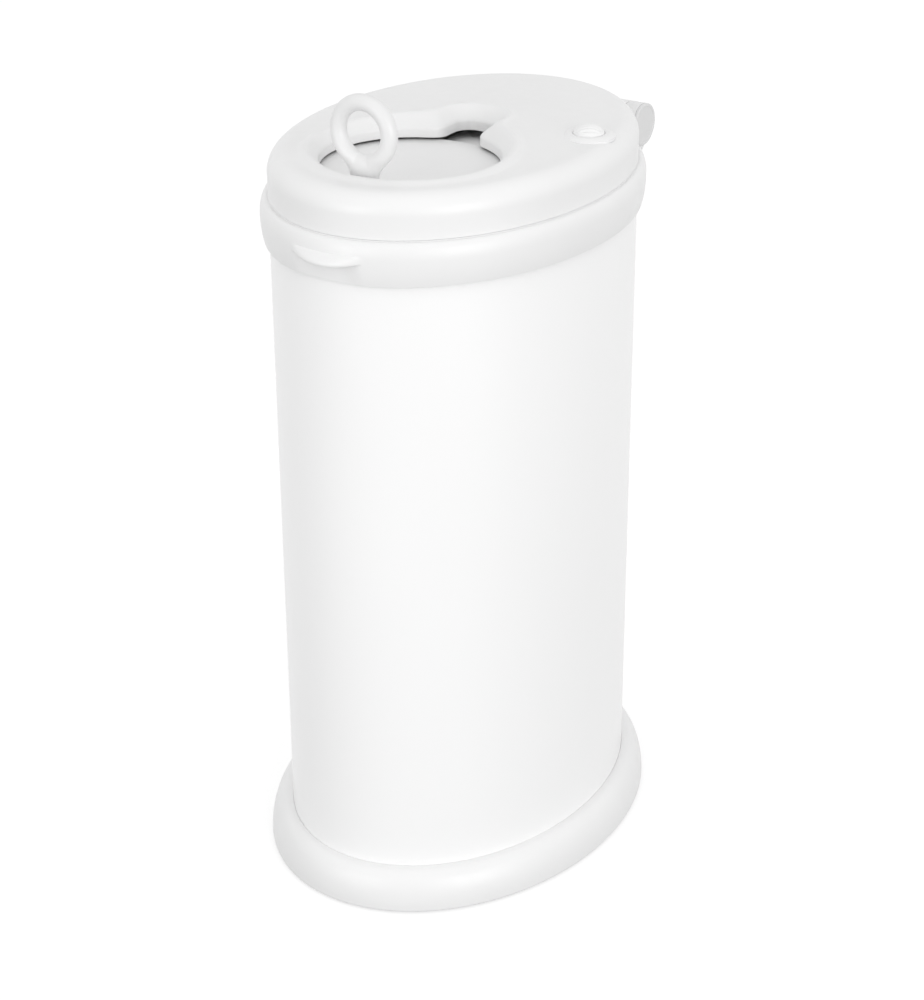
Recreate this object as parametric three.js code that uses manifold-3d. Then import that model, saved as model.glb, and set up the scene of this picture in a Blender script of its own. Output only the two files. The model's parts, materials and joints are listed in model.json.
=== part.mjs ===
// Nappy bin: an oval sheet steel pail on a moulded base, closed by a domed lid that turns on a
// barrel hinge at the back. A dished door slides backwards under the lid by an upright ring, and
// a round knob swings a lever behind the door's stop lug as a child lock.
// Millimetres, +Z up, the front towards -Y, the origin on the floor under the middle of the oval.

import {
  BoxGeometry,
  BufferAttribute,
  BufferGeometry,
  CylinderGeometry,
  ExtrudeGeometry,
  Group,
  LatheGeometry,
  Mesh,
  MeshStandardMaterial,
  Shape,
  TorusGeometry,
  Vector2,
} from 'three';
import { mergeVertices } from 'three/addons/utils/BufferGeometryUtils.js';
import Module from 'manifold-3d';

const wasm = await Module();
wasm.setup();

// Shared values: clearances, the overrun of every cut, and how finely curves are stepped
const seatGap = 0.3;
const swingGap = 0.6;
const cutOverrun = 8;
const weldTolerance = 0.0001;
const ovalSteps = 48;
const circleSteps = 40;
const smallSteps = 16;
const screwSteps = 8;
const arcSteps = 4;

// Steel body: an oval tube, long axis from front to back
const bodyHalfLength = 166;
const bodyHalfWidth = 122;
const steelWall = 1;
const shellHeight = 511.5;

// Moulded base: a flared skirt with a ledge that carries the steel and the floor pan
const padProud = 1.5;
const padRadius = 7;
const padThickness = 2.7;
const padInset = 9;
const padTurnShares = [0.125, 0.375, 0.625, 0.875];
const baseHeight = 31.5;
const baseFlare = 17;
const baseCrown = 1;
const baseRoundness = 2.2;
const baseWall = 3;
const baseRootDrop = 5;
const ledgeDepth = 10.8;
const ledgeThickness = 3.8;
const ledgeReach = 10;
const floorThickness = 2;

// Collar: the moulded band round the top of the steel
const collarHeight = 31.7;
const collarOverlap = 13.1;
const collarBelly = 6.3;
const bellyHeightShare = 0.63;
const flareHeightShare = 0.33;
const flareReachShare = 0.67;
const collarLip = 4;
const collarTopEdge = 0.8;
const collarWall = 5.2;
const skirtDepth = 6;
const skirtWall = 2.9;
const frameLedgeReach = 12;
const frameLedgeDrop = 19.7;
const frameLedgeThickness = 2.5;
const sealLedgeReach = 11;
const sealLedgeDrop = 3;
const sealLedgeThickness = 2.5;
const collarScrewCount = 4;
const collarScrewRadius = 1.6;
const collarScrewHead = 3.2;
const collarScrewHeadHeight = 1.4;

// Finger lip at the front of the collar
const lipReach = 12;
const lipHalfWidth = 29;
const lipRise = 13.5;
const lipThickness = 1.6;
const lipSlope = 9.5;
const lipScoop = 2.2;

// Bag frame: an oval ring that the bag's rim folds over
const frameThickness = 2.5;
const frameReach = 28;
const frameSkirt = 20;
const frameWall = 2;

// Lid: dome, wall and the round opening with the notch behind it
const lidHeight = 36.7;
const lidWall = 3;
const shoulderRadius = 15;
const crownRise = 5;
const crownStart = 24;
const crownShares = [1, 0.75, 0.45];
const openingSideRoom = 57;
const openingEndRoom = 18;
const openingFrontRoom = 39;
const notchHalfWidth = 17;
const notchCorner = 13;
const notchPlay = 11;
const rimDrop = 16.4;
const rimWall = 2.6;
const rimBevelWidth = 24;
const rimBevelDepth = 6;
const rimEdge = 1.2;

// Inner tray of the lid
const trayLift = 3.7;
const trayThickness = 2.5;
const trayInset = 4;
const trayRimHeight = 4;
const trayRimWall = 2.5;
const dropInset = 5;
const sealOverhang = 1.5;
const panClearance = 1;
const panSide = 7;
const panTail = 15;
const bossRadius = 4.5;
const screwRadius = 2;
const screwHeadRadius = 4;
const screwHeadHeight = 2.4;
const screwBite = 12;
const bossMargin = 0.5;
const bossTurnShares = [0.75, 0.568, 0.932, 0.3847, 0.1153];

// Seals
const rimSealWidth = 3;
const rimSealInset = 7;
const doorSealWidth = 3;

// Sliding door
const doorThickness = 5;
const doorLift = 7.5;
const doorOverlap = 5;
const dishMargin = 17;
const dishDepth = 2.4;
const travelSpare = 8;
const wingReach = 9;
const wingFront = 34;
const wingBack = 12;
const glideWidth = 5.4;
const glideInset = 1.3;
const railWall = 3;
const railFlange = 1.6;
const railFront = 38;
const railTail = 2;
const railGrip = 4.5;

// Ring handle
const handleRadius = 21.4;
const handleTube = 5.8;
const handleHeight = 41;
const handleSetback = 8;
const stemHalfWidth = 13;
const stemTopHalfWidth = 8.5;
const stemThickness = 10;
const handleScrewSpacing = 7;
const handleScrewRadius = 1.5;
const handleScrewHead = 3;
const handleScrewHeadHeight = 2;
const handleScrewBite = 9;

// Child lock
const lockSideRoom = 27;
const lockBackRoom = 30;
const lockTurnDegrees = 48;
const lockReach = 52;
const bezelRadius = 19.4;
const bezelHeight = 3.2;
const bezelShoulder = 1.2;
const bezelCrownShare = 0.67;
const knobRadius = 11.6;
const knobHeight = 8;
const knobDome = 2.4;
const knobGap = 0.4;
const knobRibCount = 5;
const knobRibPitch = 3.2;
const knobRibWidth = 1.1;
const knobRibDepth = 0.7;
const lockSeatDrop = 4.8;
const lockSeatThickness = 3.7;
const spindleRadius = 4;
const spindleHold = 4.6;
const washerRadius = 9;
const washerThickness = 1;
const leverThickness = 4;
const leverHub = 8;
const leverNose = 4;
const leverWidth = 7;
const lugWidth = 6;
const lugThickness = 4;
const lugHeight = 7.3;
const tabMargin = 3;
const tabLength = 24;
const lockScrewRadius = 1.5;
const lockScrewHead = 6;
const lockScrewHeadHeight = 2.2;
const lockScrewBite = 8;

// Hinge barrel across the back
const hingeRadius = 16.5;
const hingeSetback = 3;
const hingeRise = 2.8;
const knuckleHalf = 53.7;
const earWidth = 12;
const pinRadius = 3;
const capThickness = 2.4;
const capBulge = 1;
const bracketDrop = 27;
const bracketTangent = Math.PI / 5;

// Heights, each worked out from the floor up
const baseBottom = padProud;
const baseTop = baseBottom + baseHeight;
const ledgeTop = baseBottom + ledgeDepth;
const shellBottom = ledgeTop + seatGap;
const shellTop = shellBottom + shellHeight;
const collarBottom = shellTop - collarOverlap;
const collarTop = collarBottom + collarHeight;
const frameLedgeTop = collarTop - frameLedgeDrop;
const sealLedgeTop = collarTop - sealLedgeDrop;
const lidBottom = collarTop + swingGap;
const lidTop = lidBottom + lidHeight;
const rimBottom = lidTop - rimDrop;
const trayBottom = lidBottom + trayLift;
const trayTop = trayBottom + trayThickness;
const doorBottom = trayTop + doorLift;
const doorTop = doorBottom + doorThickness;
const hingeZ = collarTop + hingeRise;
const lockSeatTop = lidTop - lockSeatDrop;
const lockSeatBottom = lockSeatTop - lockSeatThickness;
const leverTop = lockSeatBottom - washerThickness - 2 * seatGap;
const leverBottom = leverTop - leverThickness;

// Plan of the lid: the opening fills what the oval's width and length leave it
const openingRadius = Math.min(bodyHalfWidth - openingSideRoom, bodyHalfLength / 2 - openingEndRoom);
const openingY = -bodyHalfLength + openingFrontRoom + openingRadius;
const dropRadius = openingRadius - dropInset;
const dishRadius = openingRadius - dishMargin;
const doorRadius = openingRadius + doorOverlap;
const doorTravel = 2 * openingRadius + travelSpare;
const wingHalfSpan = doorRadius + wingReach;
const lockX = openingRadius + lockSideRoom;
const lockY = openingY + openingRadius + lockBackRoom;
const handleY = openingY - openingRadius + handleSetback;
const notchReach = handleY - openingY + stemThickness / 2 + doorTravel + notchPlay;
const railLength = railFront + wingBack + doorTravel + railTail;
const handleZ = doorTop + handleHeight;
const hingeY = bodyHalfLength - hingeSetback;
const lockTurn = lockTurnDegrees * Math.PI / 180;
const lugReach = lockReach * Math.sin(lockTurn);
const lugX = lockX - lugReach - lugWidth / 2;
const lugBackY = lockY - Math.sqrt((lockReach + leverNose + swingGap) ** 2 - lugReach ** 2);
const earStart = knuckleHalf + swingGap;
const earEnd = earStart + earWidth;

// A closed geometry becomes a solid once its doubled corners are merged
// and the flat triangles left at its poles are dropped
function solid(geometry) {
  geometry.deleteAttribute('normal');
  geometry.deleteAttribute('uv');
  const merged = mergeVertices(geometry, weldTolerance);
  const corners = [];
  for (let i = 0; i < merged.index.count; i += 3) {
    const [a, b, c] = merged.index.array.slice(i, i + 3);
    if (a !== b && b !== c && c !== a) {
      corners.push(a, b, c);
    }
  }
  return new wasm.Manifold(new wasm.Mesh({
    numProp: 3,
    vertProperties: Float32Array.from(merged.attributes.position.array),
    triVerts: Uint32Array.from(corners),
  }));
}

// A solid goes back to a geometry that a mesh can show
function geometryOf(body) {
  const mesh = body.getMesh();
  const geometry = new BufferGeometry();
  geometry.setAttribute('position', new BufferAttribute(Float32Array.from(mesh.vertProperties), 3));
  geometry.setIndex(new BufferAttribute(Uint32Array.from(mesh.triVerts), 1));
  geometry.computeVertexNormals();
  return geometry;
}

// Upright block, centred on x and y, from one height to another
function block(width, depth, x, y, low, high) {
  const geometry = new BoxGeometry(width, depth, high - low);
  geometry.translate(x, y, (low + high) / 2);
  return solid(geometry);
}

// Upright rod or cone from one height to another
function rod(radius, x, y, low, high, steps = smallSteps, topRadius = radius) {
  const geometry = new CylinderGeometry(topRadius, radius, high - low, steps);
  geometry.rotateX(Math.PI / 2);
  geometry.translate(x, y, (low + high) / 2);
  return solid(geometry);
}

// Rod along X about the hinge line
function hingeRod(radius, from, to, steps = circleSteps) {
  const geometry = new CylinderGeometry(radius, radius, to - from, steps);
  geometry.rotateZ(Math.PI / 2);
  geometry.translate((from + to) / 2, hingeY, hingeZ);
  return solid(geometry);
}

// Outline for turning: it starts and ends on the axis or closes on itself
function closed(outline) {
  const points = outline[0][0] > 0 ? [...outline, outline[0]] : outline;
  return points.map((point) => new Vector2(...point));
}

// An outline of [radius, height], its outer side going up, turned about an upright axis
function turned(outline, x, y, steps = smallSteps) {
  const geometry = new LatheGeometry(closed(outline), steps);
  geometry.rotateX(Math.PI / 2);
  geometry.translate(x, y, 0);
  return solid(geometry);
}

// An outline of [offset from the steel's outer face, height] carried round the oval.
// Offsets grow both half axes alike; inside crownStart the oval shrinks to a point instead.
function ovalTurned(outline) {
  const points = outline.map(([offset, height]) => [bodyHalfLength + offset, height]);
  const geometry = new LatheGeometry(closed(points), ovalSteps);
  geometry.rotateX(Math.PI / 2);
  const position = geometry.attributes.position;
  const coreLength = bodyHalfLength - crownStart;
  const coreWidth = bodyHalfWidth - crownStart;
  for (let i = 0; i < position.count; i += 1) {
    const x = position.getX(i);
    const y = position.getY(i);
    const radius = Math.hypot(x, y);
    const across = radius < coreLength
      ? radius * coreWidth / coreLength
      : radius - bodyHalfLength + bodyHalfWidth;
    position.setX(i, radius > 0 ? x / radius * across : 0);
  }
  return solid(geometry);
}

// Oval slab whose edge lies at an offset from the steel's outer face
function ovalSlab(offset, low, high) {
  return ovalTurned([
    [-bodyHalfLength, low],
    [offset, low],
    [offset, high],
    [-bodyHalfLength, high],
  ]);
}

// Point of the oval at an angle from +X and an offset from the steel's outer face
function ovalPoint(angle, offset) {
  return [
    (bodyHalfWidth + offset) * Math.cos(angle),
    (bodyHalfLength + offset) * Math.sin(angle),
  ];
}

// Quarter of an arc between two points of an outline, swelling away from the corner at [x0, z1]
function quarter(x0, z0, x1, z1, power = 2) {
  const points = [];
  for (let i = 0; i <= arcSteps; i += 1) {
    const angle = i / arcSteps * Math.PI / 2;
    points.push([
      x1 + (x0 - x1) * Math.cos(angle) ** (2 / power),
      z0 + (z1 - z0) * Math.sin(angle) ** (2 / power),
    ]);
  }
  return points;
}

// Screw with its head below and its shank pointing up
function screw(x, y, headBottom, headHeight, headRadius, shankRadius, bite) {
  const head = rod(headRadius, x, y, headBottom, headBottom + headHeight, smallSteps);
  const shankEnd = headBottom + headHeight + bite;
  return head.add(rod(shankRadius, x, y, headBottom + headHeight / 2, shankEnd, screwSteps));
}

// Outline of the lid's opening, grown by an amount: a circle and the notch behind it.
// The growth may differ at the two heights, which makes the bevel round the rim.
function openingPlug(lowGrowth, highGrowth, low, high) {
  const circle = rod(
    openingRadius + lowGrowth, 0, openingY, low, high, circleSteps, openingRadius + highGrowth,
  );
  const geometry = new ExtrudeGeometry(notchShape(), {
    depth: high - low,
    bevelEnabled: false,
    curveSegments: arcSteps,
  });
  const position = geometry.attributes.position;
  for (let i = 0; i < position.count; i += 1) {
    const growth = position.getZ(i) > 0 ? highGrowth : lowGrowth;
    const x = position.getX(i);
    const y = position.getY(i);
    position.setX(i, x + x / notchHalfWidth * growth);
    position.setY(i, y + Math.max(y, 0) / notchReach * growth);
  }
  geometry.translate(0, openingY, low);
  return circle.add(solid(geometry));
}

// The notch as a shape that starts at the middle of the opening and ends in two round corners
function notchShape() {
  const shape = new Shape();
  const corner = notchHalfWidth - notchCorner;
  shape.moveTo(-notchHalfWidth, 0);
  shape.lineTo(notchHalfWidth, 0);
  shape.lineTo(notchHalfWidth, notchReach - notchCorner);
  shape.absarc(corner, notchReach - notchCorner, notchCorner, 0, Math.PI / 2);
  shape.lineTo(-corner, notchReach);
  shape.absarc(-corner, notchReach - notchCorner, notchCorner, Math.PI / 2, Math.PI);
  return shape;
}

// Base: flared skirt with a ledge that carries the steel, hollow from below round four pad bosses
function baseRing() {
  const foot = baseCrown + baseFlare;
  const ledgeBottom = ledgeTop - ledgeThickness;
  const full = ovalTurned([
    ...quarter(foot, baseBottom, baseCrown, baseTop, baseRoundness),
    [seatGap, baseTop],
    [seatGap, ledgeTop],
    [-ledgeReach, ledgeTop],
    [-ledgeReach, ledgeBottom],
    [seatGap + baseWall, ledgeBottom],
    [seatGap + baseWall, baseBottom],
  ]);
  let cavity = ovalTurned([
    [foot - baseWall, baseBottom - cutOverrun],
    ...quarter(foot - baseWall, baseBottom, seatGap + baseWall, baseTop - baseRootDrop, baseRoundness),
    [seatGap + baseWall, baseBottom - cutOverrun],
  ]);
  for (const [x, y] of padPlaces()) {
    cavity = cavity.subtract(rod(padRadius + baseWall, x, y, -cutOverrun, baseTop));
  }
  const pocketTop = padThickness + seatGap;
  return padPlaces().reduce(
    (sum, [x, y]) => sum.subtract(rod(padRadius + seatGap, x, y, -cutOverrun, pocketTop)),
    full.subtract(cavity),
  );
}

// Four pads under the skirt, one in each quarter
function padPlaces() {
  return padTurnShares.map((share) => ovalPoint(share * 2 * Math.PI, padInset));
}

function footPad([x, y]) {
  return rod(padRadius, x, y, 0, padThickness);
}

function floorPan() {
  return ovalSlab(-steelWall - seatGap, shellBottom, shellBottom + floorThickness);
}

// Places of the collar's screws as angles round the oval, clear of the front lip and the hinge
function collarScrewAngles() {
  return Array.from(
    { length: collarScrewCount },
    (_, i) => (2 * i + 1) / collarScrewCount * Math.PI,
  );
}

// Rod that points outwards from inside the collar, between two offsets from the steel's face
function collarRod(angle, radius, from, to) {
  const geometry = new CylinderGeometry(radius, radius, to - from, screwSteps);
  const [x, y] = ovalPoint(angle, 0);
  const heading = Math.atan2(y / (bodyHalfLength ** 2), x / (bodyHalfWidth ** 2));
  geometry.rotateZ(-Math.PI / 2);
  geometry.translate((from + to) / 2, 0, 0);
  geometry.rotateZ(heading);
  geometry.translate(x, y, collarBottom + collarScrewHead);
  return solid(geometry);
}

function collarScrews() {
  const inner = -steelWall - seatGap - skirtWall - seatGap;
  return collarScrewAngles().map((angle) => {
    const head = collarRod(angle, collarScrewHead, inner - collarScrewHeadHeight, inner);
    return head.add(collarRod(angle, collarScrewRadius, inner - collarScrewHeadHeight / 2, collarLip / 2));
  });
}

function screwHoles(body) {
  const inner = -steelWall - seatGap - skirtWall;
  return collarScrewAngles().reduce((sum, angle) => sum.subtract(
    collarRod(angle, collarScrewRadius + seatGap, inner - cutOverrun, collarLip / 2 + seatGap),
  ), body);
}

function bodyShell() {
  return screwHoles(ovalTurned([
    [0, shellBottom],
    [0, shellTop],
    [-steelWall, shellTop],
    [-steelWall, shellBottom],
  ]));
}

// Collar: belly outside, groove for the steel below, ledges for the bag frame and the lid's seal
function collar() {
  const grooveTop = shellTop + seatGap;
  const inner = -steelWall - seatGap;
  const bellyZ = collarBottom + collarHeight * bellyHeightShare;
  const flareZ = collarBottom + (bellyZ - collarBottom) * flareHeightShare;
  const skirtBottom = collarBottom - skirtDepth;
  let band = ovalTurned([
    [collarLip, collarBottom],
    [collarLip + (collarBelly - collarLip) * flareReachShare, flareZ],
    ...quarter(collarBelly, bellyZ, collarTopEdge, collarTop),
    [-collarWall, collarTop],
    [-collarWall, sealLedgeTop],
    [-sealLedgeReach, sealLedgeTop],
    [-sealLedgeReach, sealLedgeTop - sealLedgeThickness],
    [-collarWall, sealLedgeTop - sealLedgeThickness - sealLedgeReach + collarWall],
    [-collarWall, frameLedgeTop],
    [-frameLedgeReach, frameLedgeTop],
    [-frameLedgeReach, frameLedgeTop - frameLedgeThickness],
    [inner - skirtWall, frameLedgeTop - frameLedgeThickness],
    [inner - skirtWall, skirtBottom],
    [inner, skirtBottom],
    [inner, grooveTop],
    [seatGap, grooveTop],
    [seatGap, collarBottom],
  ]);
  band = addFingerLip(band);
  band = band.subtract(hingeRod(hingeRadius + swingGap, -earStart, earStart));
  for (const side of [-1, 1]) {
    band = band.subtract(capRoom(side)).add(hingeEar(side));
  }
  band = band.subtract(pinBore());
  return screwHoles(band);
}

// Crescent shelf at the front, with a scoop below it for the fingertips
function addFingerLip(band) {
  const lipZ = collarBottom + lipRise;
  const frontY = -bodyHalfLength - collarBelly;
  const sagitta = lipReach - collarBelly + curveSag(lipHalfWidth);
  const sweep = (lipHalfWidth ** 2 + sagitta ** 2) / (2 * sagitta);
  const sweepY = frontY - (lipReach - collarBelly) + sweep;
  const lens = rod(sweep, 0, sweepY, collarBottom - cutOverrun, collarTop, 2 * circleSteps);
  const front = block(2 * sweep, sweep, 0, sweepY - sweep / 2, collarBottom - cutOverrun, collarTop);
  const shelf = ovalTurned([
    [lipReach * 2, lipZ],
    [lipReach * 2, lipZ + lipThickness],
    [lipReach, lipZ + lipThickness],
    [collarTopEdge, lipZ + lipThickness + lipSlope],
    [collarTopEdge, lipZ],
  ]);
  const scoop = ovalTurned([
    [lipScoop, collarBottom - cutOverrun],
    [lipReach * 2, collarBottom - cutOverrun],
    [lipReach * 2, lipZ],
    [lipScoop, lipZ],
  ]);
  const reach = lens.intersect(front);
  return band.subtract(reach.intersect(scoop)).add(reach.intersect(shelf));
}

// How far the belly's front falls back from its tip at a distance to the side
function curveSag(side) {
  const length = bodyHalfLength + collarBelly;
  const width = bodyHalfWidth + collarBelly;
  return length * (1 - Math.sqrt(1 - (side / width) ** 2));
}

// Room for the cover on the barrel's end
function capRoom(side) {
  const depth = capThickness + 2 * seatGap;
  const from = side > 0 ? earEnd : -earEnd - depth;
  return hingeRod(hingeRadius + seatGap, from, from + depth);
}

// Fixed outer knuckle of the hinge with the bracket that joins it to the collar
function hingeEar(side) {
  const low = collarTop - bracketDrop;
  const inY = bodyHalfLength * Math.sqrt(1 - (earStart / bodyHalfWidth) ** 2) - collarWall;
  const shape = new Shape();
  shape.moveTo(inY, low);
  shape.lineTo(inY + 2 * collarBelly, low);
  shape.lineTo(
    hingeY + hingeRadius * Math.cos(bracketTangent),
    hingeZ - hingeRadius * Math.sin(bracketTangent),
  );
  shape.lineTo(hingeY, hingeZ);
  shape.lineTo(inY, collarTop);
  const geometry = new ExtrudeGeometry(shape, { depth: earWidth, bevelEnabled: false });
  geometry.rotateX(Math.PI / 2);
  geometry.rotateZ(Math.PI / 2);
  geometry.translate(side > 0 ? earStart : -earEnd, 0, 0);
  const bracket = solid(geometry).subtract(ovalSlab(seatGap, low - cutOverrun, shellTop + seatGap));
  const from = side > 0 ? earStart : -earEnd;
  return bracket.add(hingeRod(hingeRadius, from, from + earWidth));
}

function pinBore() {
  return hingeRod(pinRadius + seatGap, -earEnd - cutOverrun, earEnd + cutOverrun, smallSteps);
}

function hingePin() {
  return hingeRod(pinRadius, -earEnd, earEnd, smallSteps);
}

// Slightly domed cover on the outer face of each fixed knuckle
function hingeCap(side) {
  const geometry = new LatheGeometry([
    new Vector2(0, 0),
    new Vector2(hingeRadius, 0),
    new Vector2(hingeRadius, capThickness - capBulge),
    new Vector2(hingeRadius - capBulge, capThickness),
    new Vector2(0, capThickness),
  ], circleSteps);
  geometry.rotateZ(-side * Math.PI / 2);
  geometry.translate(side * (earEnd + seatGap), hingeY, hingeZ);
  return solid(geometry);
}

function bagFrame() {
  const low = frameLedgeTop + seatGap;
  const top = low + frameThickness;
  const outer = -collarWall - seatGap;
  const inner = -frameReach;
  return ovalTurned([
    [outer, low],
    [outer, top],
    [inner, top],
    [inner - frameWall, top - frameWall],
    [inner - frameWall, top - frameSkirt],
    [inner, top - frameSkirt],
    [inner, low],
  ]);
}

// Dome of the lid: upright wall, round shoulder and a gentle crown, shrunk by a wall's thickness
function dome(inset, low) {
  const shoulderTop = lidTop - crownRise - inset;
  const radius = shoulderRadius - inset;
  const crown = crownShares.map((share) => [
    -bodyHalfLength + (bodyHalfLength - crownStart) * share,
    shoulderTop + crownRise * (1 - share ** 2),
  ]);
  return ovalTurned([
    [-bodyHalfLength, low],
    [-inset, low],
    ...quarter(-inset, shoulderTop - radius, -inset - radius, shoulderTop),
    ...crown,
    [-bodyHalfLength, shoulderTop + crownRise],
  ]);
}

// Funnel that bevels the rim of the opening, lowered by an amount; it opens out up to the lid's top
function rimFunnel(drop) {
  const low = lidTop - rimBevelDepth - drop;
  const high = lidTop + cutOverrun;
  const spread = rimEdge + (high - low) * rimBevelWidth / rimBevelDepth;
  return openingPlug(rimEdge, spread, low, high);
}

// Places of the bosses that the tray is screwed to, a margin inside the rim seal
function bossPlaces() {
  const inset = rimSealInset + rimSealWidth + screwHeadRadius + bossMargin;
  return bossTurnShares.map((share) => ovalPoint(share * 2 * Math.PI, -inset));
}

function lidShell() {
  const outer = dome(0, lidBottom);
  let shell = outer.subtract(dome(lidWall, lidBottom - cutOverrun));
  const rim = openingPlug(rimWall, rimWall, rimBottom, lidTop).add(rimFunnel(lidWall));
  shell = shell.add(rim.intersect(outer));
  for (const [x, y] of bossPlaces()) {
    shell = shell.add(rod(bossRadius, x, y, trayTop + seatGap, lidTop, smallSteps).intersect(outer));
  }
  shell = shell.add(rod(bezelRadius + seatGap, lockX, lockY, lockSeatBottom, lockSeatTop, circleSteps));
  shell = shell.subtract(rod(bezelRadius + seatGap, lockX, lockY, lockSeatTop, lidTop, circleSteps));
  shell = shell.add(hingeRod(hingeRadius, -knuckleHalf, knuckleHalf));
  shell = shell.subtract(openingPlug(0, 0, rimBottom - cutOverrun, lidTop + cutOverrun));
  shell = shell.subtract(rimFunnel(0));
  for (const [x, y] of bossPlaces()) {
    const holeTop = trayTop + seatGap + screwBite;
    shell = shell.subtract(rod(screwRadius + seatGap, x, y, trayBottom, holeTop, screwSteps));
  }
  shell = shell.subtract(rod(spindleRadius + seatGap, lockX, lockY, leverTop, lidTop));
  return clearEars(shell).subtract(pinBore());
}

// Everything that swings with the lid stays clear of the two fixed knuckles
function clearEars(body) {
  return [-1, 1].reduce((sum, side) => sum.subtract(hingeRod(
    hingeRadius + swingGap,
    side > 0 ? knuckleHalf : -earEnd - cutOverrun,
    side > 0 ? earEnd + cutOverrun : -knuckleHalf,
  )), body);
}

// What lies inside the lid also stops short of the middle knuckle
function clearBarrel(body) {
  return body.subtract(hingeRod(hingeRadius + swingGap, -earEnd - cutOverrun, earEnd + cutOverrun));
}

// Plate with an upright rim and the drop hole, whose edge the door's seal overhangs
function lidTray() {
  const edge = -trayInset;
  let tray = ovalSlab(edge, trayBottom, trayTop).add(ovalTurned([
    [edge, trayBottom],
    [edge, trayTop + trayRimHeight],
    [edge - trayRimWall, trayTop + trayRimHeight],
    [edge - trayRimWall, trayBottom],
  ]));
  const low = trayBottom - cutOverrun;
  const high = trayTop + cutOverrun;
  tray = tray.subtract(rod(dropRadius + sealOverhang, 0, openingY, low, high, circleSteps));
  for (const [x, y] of bossPlaces()) {
    tray = tray.subtract(rod(screwRadius + seatGap, x, y, low, high, screwSteps));
  }
  return clearBarrel(tray);
}

// Block behind the door's seal, smaller by a wall, from a height up to another
function notchBlock(wall, bottom, top) {
  const front = openingY + dropRadius + seatGap + doorSealWidth + panClearance;
  const back = openingY + notchReach + panTail;
  const width = 2 * (notchHalfWidth + panSide - wall);
  return block(width, back - front - 2 * wall, 0, (front + back) / 2, bottom, top);
}

// Hollow cap on the tray that closes the notch from below
function notchFloor() {
  const bottom = trayTop + seatGap;
  const top = doorBottom - swingGap;
  const room = notchBlock(trayThickness, bottom - cutOverrun, top - trayThickness);
  return notchBlock(0, bottom, top).subtract(room);
}

function trayScrews() {
  const headBottom = trayBottom - seatGap - screwHeadHeight;
  return bossPlaces().map(([x, y]) => screw(
    x, y, headBottom, screwHeadHeight, screwHeadRadius, screwRadius, screwBite,
  ));
}

// Soft seal under the tray that closes on the collar's ledge, open where the barrel is
function rimSeal() {
  return clearBarrel(ovalTurned([
    [-rimSealInset, sealLedgeTop + seatGap],
    [-rimSealInset, trayBottom - seatGap],
    [-rimSealInset - rimSealWidth, trayBottom - seatGap],
    [-rimSealInset - rimSealWidth, sealLedgeTop + seatGap],
  ]));
}

// Soft ring round the drop opening that the door slides over
function doorSeal() {
  const inner = dropRadius + seatGap;
  const outer = inner + doorSealWidth;
  return turned([
    [outer, trayTop + seatGap],
    [outer, doorBottom - seatGap],
    [inner, doorBottom - seatGap],
    [inner, trayTop + seatGap],
  ], 0, openingY, circleSteps);
}

// Rail at one side of the door: an upright wall with a flange over the door's wing
function guideRail(side) {
  const inner = wingHalfSpan + swingGap;
  const outer = inner + railWall;
  const flangeBottom = doorTop + swingGap;
  const low = openingY - railFront;
  const y = low + railLength / 2;
  const top = flangeBottom + railFlange;
  const wall = block(railWall, railLength, side * (inner + outer) / 2, y, trayTop + seatGap, top);
  const flange = block(
    outer - inner + railGrip, railLength, side * (inner + outer - railGrip) / 2, y, flangeBottom, top,
  );
  return wall.add(flange);
}

// Door: a round plate with two wings, a tab with the lock's lug, and a shallow dish on top
function slidingDoor() {
  const wingY = openingY + (wingBack - wingFront) / 2;
  let door = rod(doorRadius, 0, openingY, doorBottom, doorTop, circleSteps);
  door = door.add(block(2 * wingHalfSpan, wingFront + wingBack, 0, wingY, doorBottom, doorTop));
  const tabBack = lugBackY + tabMargin;
  const tabY = tabBack - tabLength / 2;
  door = door.add(block(lugWidth + 2 * tabMargin, tabLength, lugX, tabY, doorBottom, doorTop));
  const lugY = lugBackY - lugThickness / 2;
  door = door.add(block(lugWidth, lugThickness, lugX, lugY, doorBottom, doorTop + lugHeight));
  door = door.subtract(dishCutter());
  const low = doorBottom - cutOverrun;
  const headTop = doorBottom + handleScrewHeadHeight + 2 * seatGap;
  for (const [x, y] of handleScrewPlaces()) {
    door = door.subtract(rod(handleScrewRadius + seatGap, x, y, low, doorTop + cutOverrun, screwSteps));
    door = door.subtract(rod(handleScrewHead + seatGap, x, y, low, headTop));
  }
  return door;
}

// Lens that hollows the door: a ball's cap, lowest in the middle
function dishCutter() {
  const outline = [[0, doorTop - dishDepth]];
  for (let i = 1; i <= arcSteps; i += 1) {
    const share = i / arcSteps;
    outline.push([dishRadius * share, doorTop - dishDepth * (1 - share ** 2)]);
  }
  outline.push([dishRadius, doorTop + cutOverrun], [0, doorTop + cutOverrun]);
  return turned(outline, 0, openingY, circleSteps);
}

function handleScrewPlaces() {
  return [-1, 1].map((side) => [side * handleScrewSpacing, handleY]);
}

function handleScrews() {
  return handleScrewPlaces().map(([x, y]) => screw(
    x, y, doorBottom + seatGap, handleScrewHeadHeight,
    handleScrewHead, handleScrewRadius, handleScrewBite,
  ));
}

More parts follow.
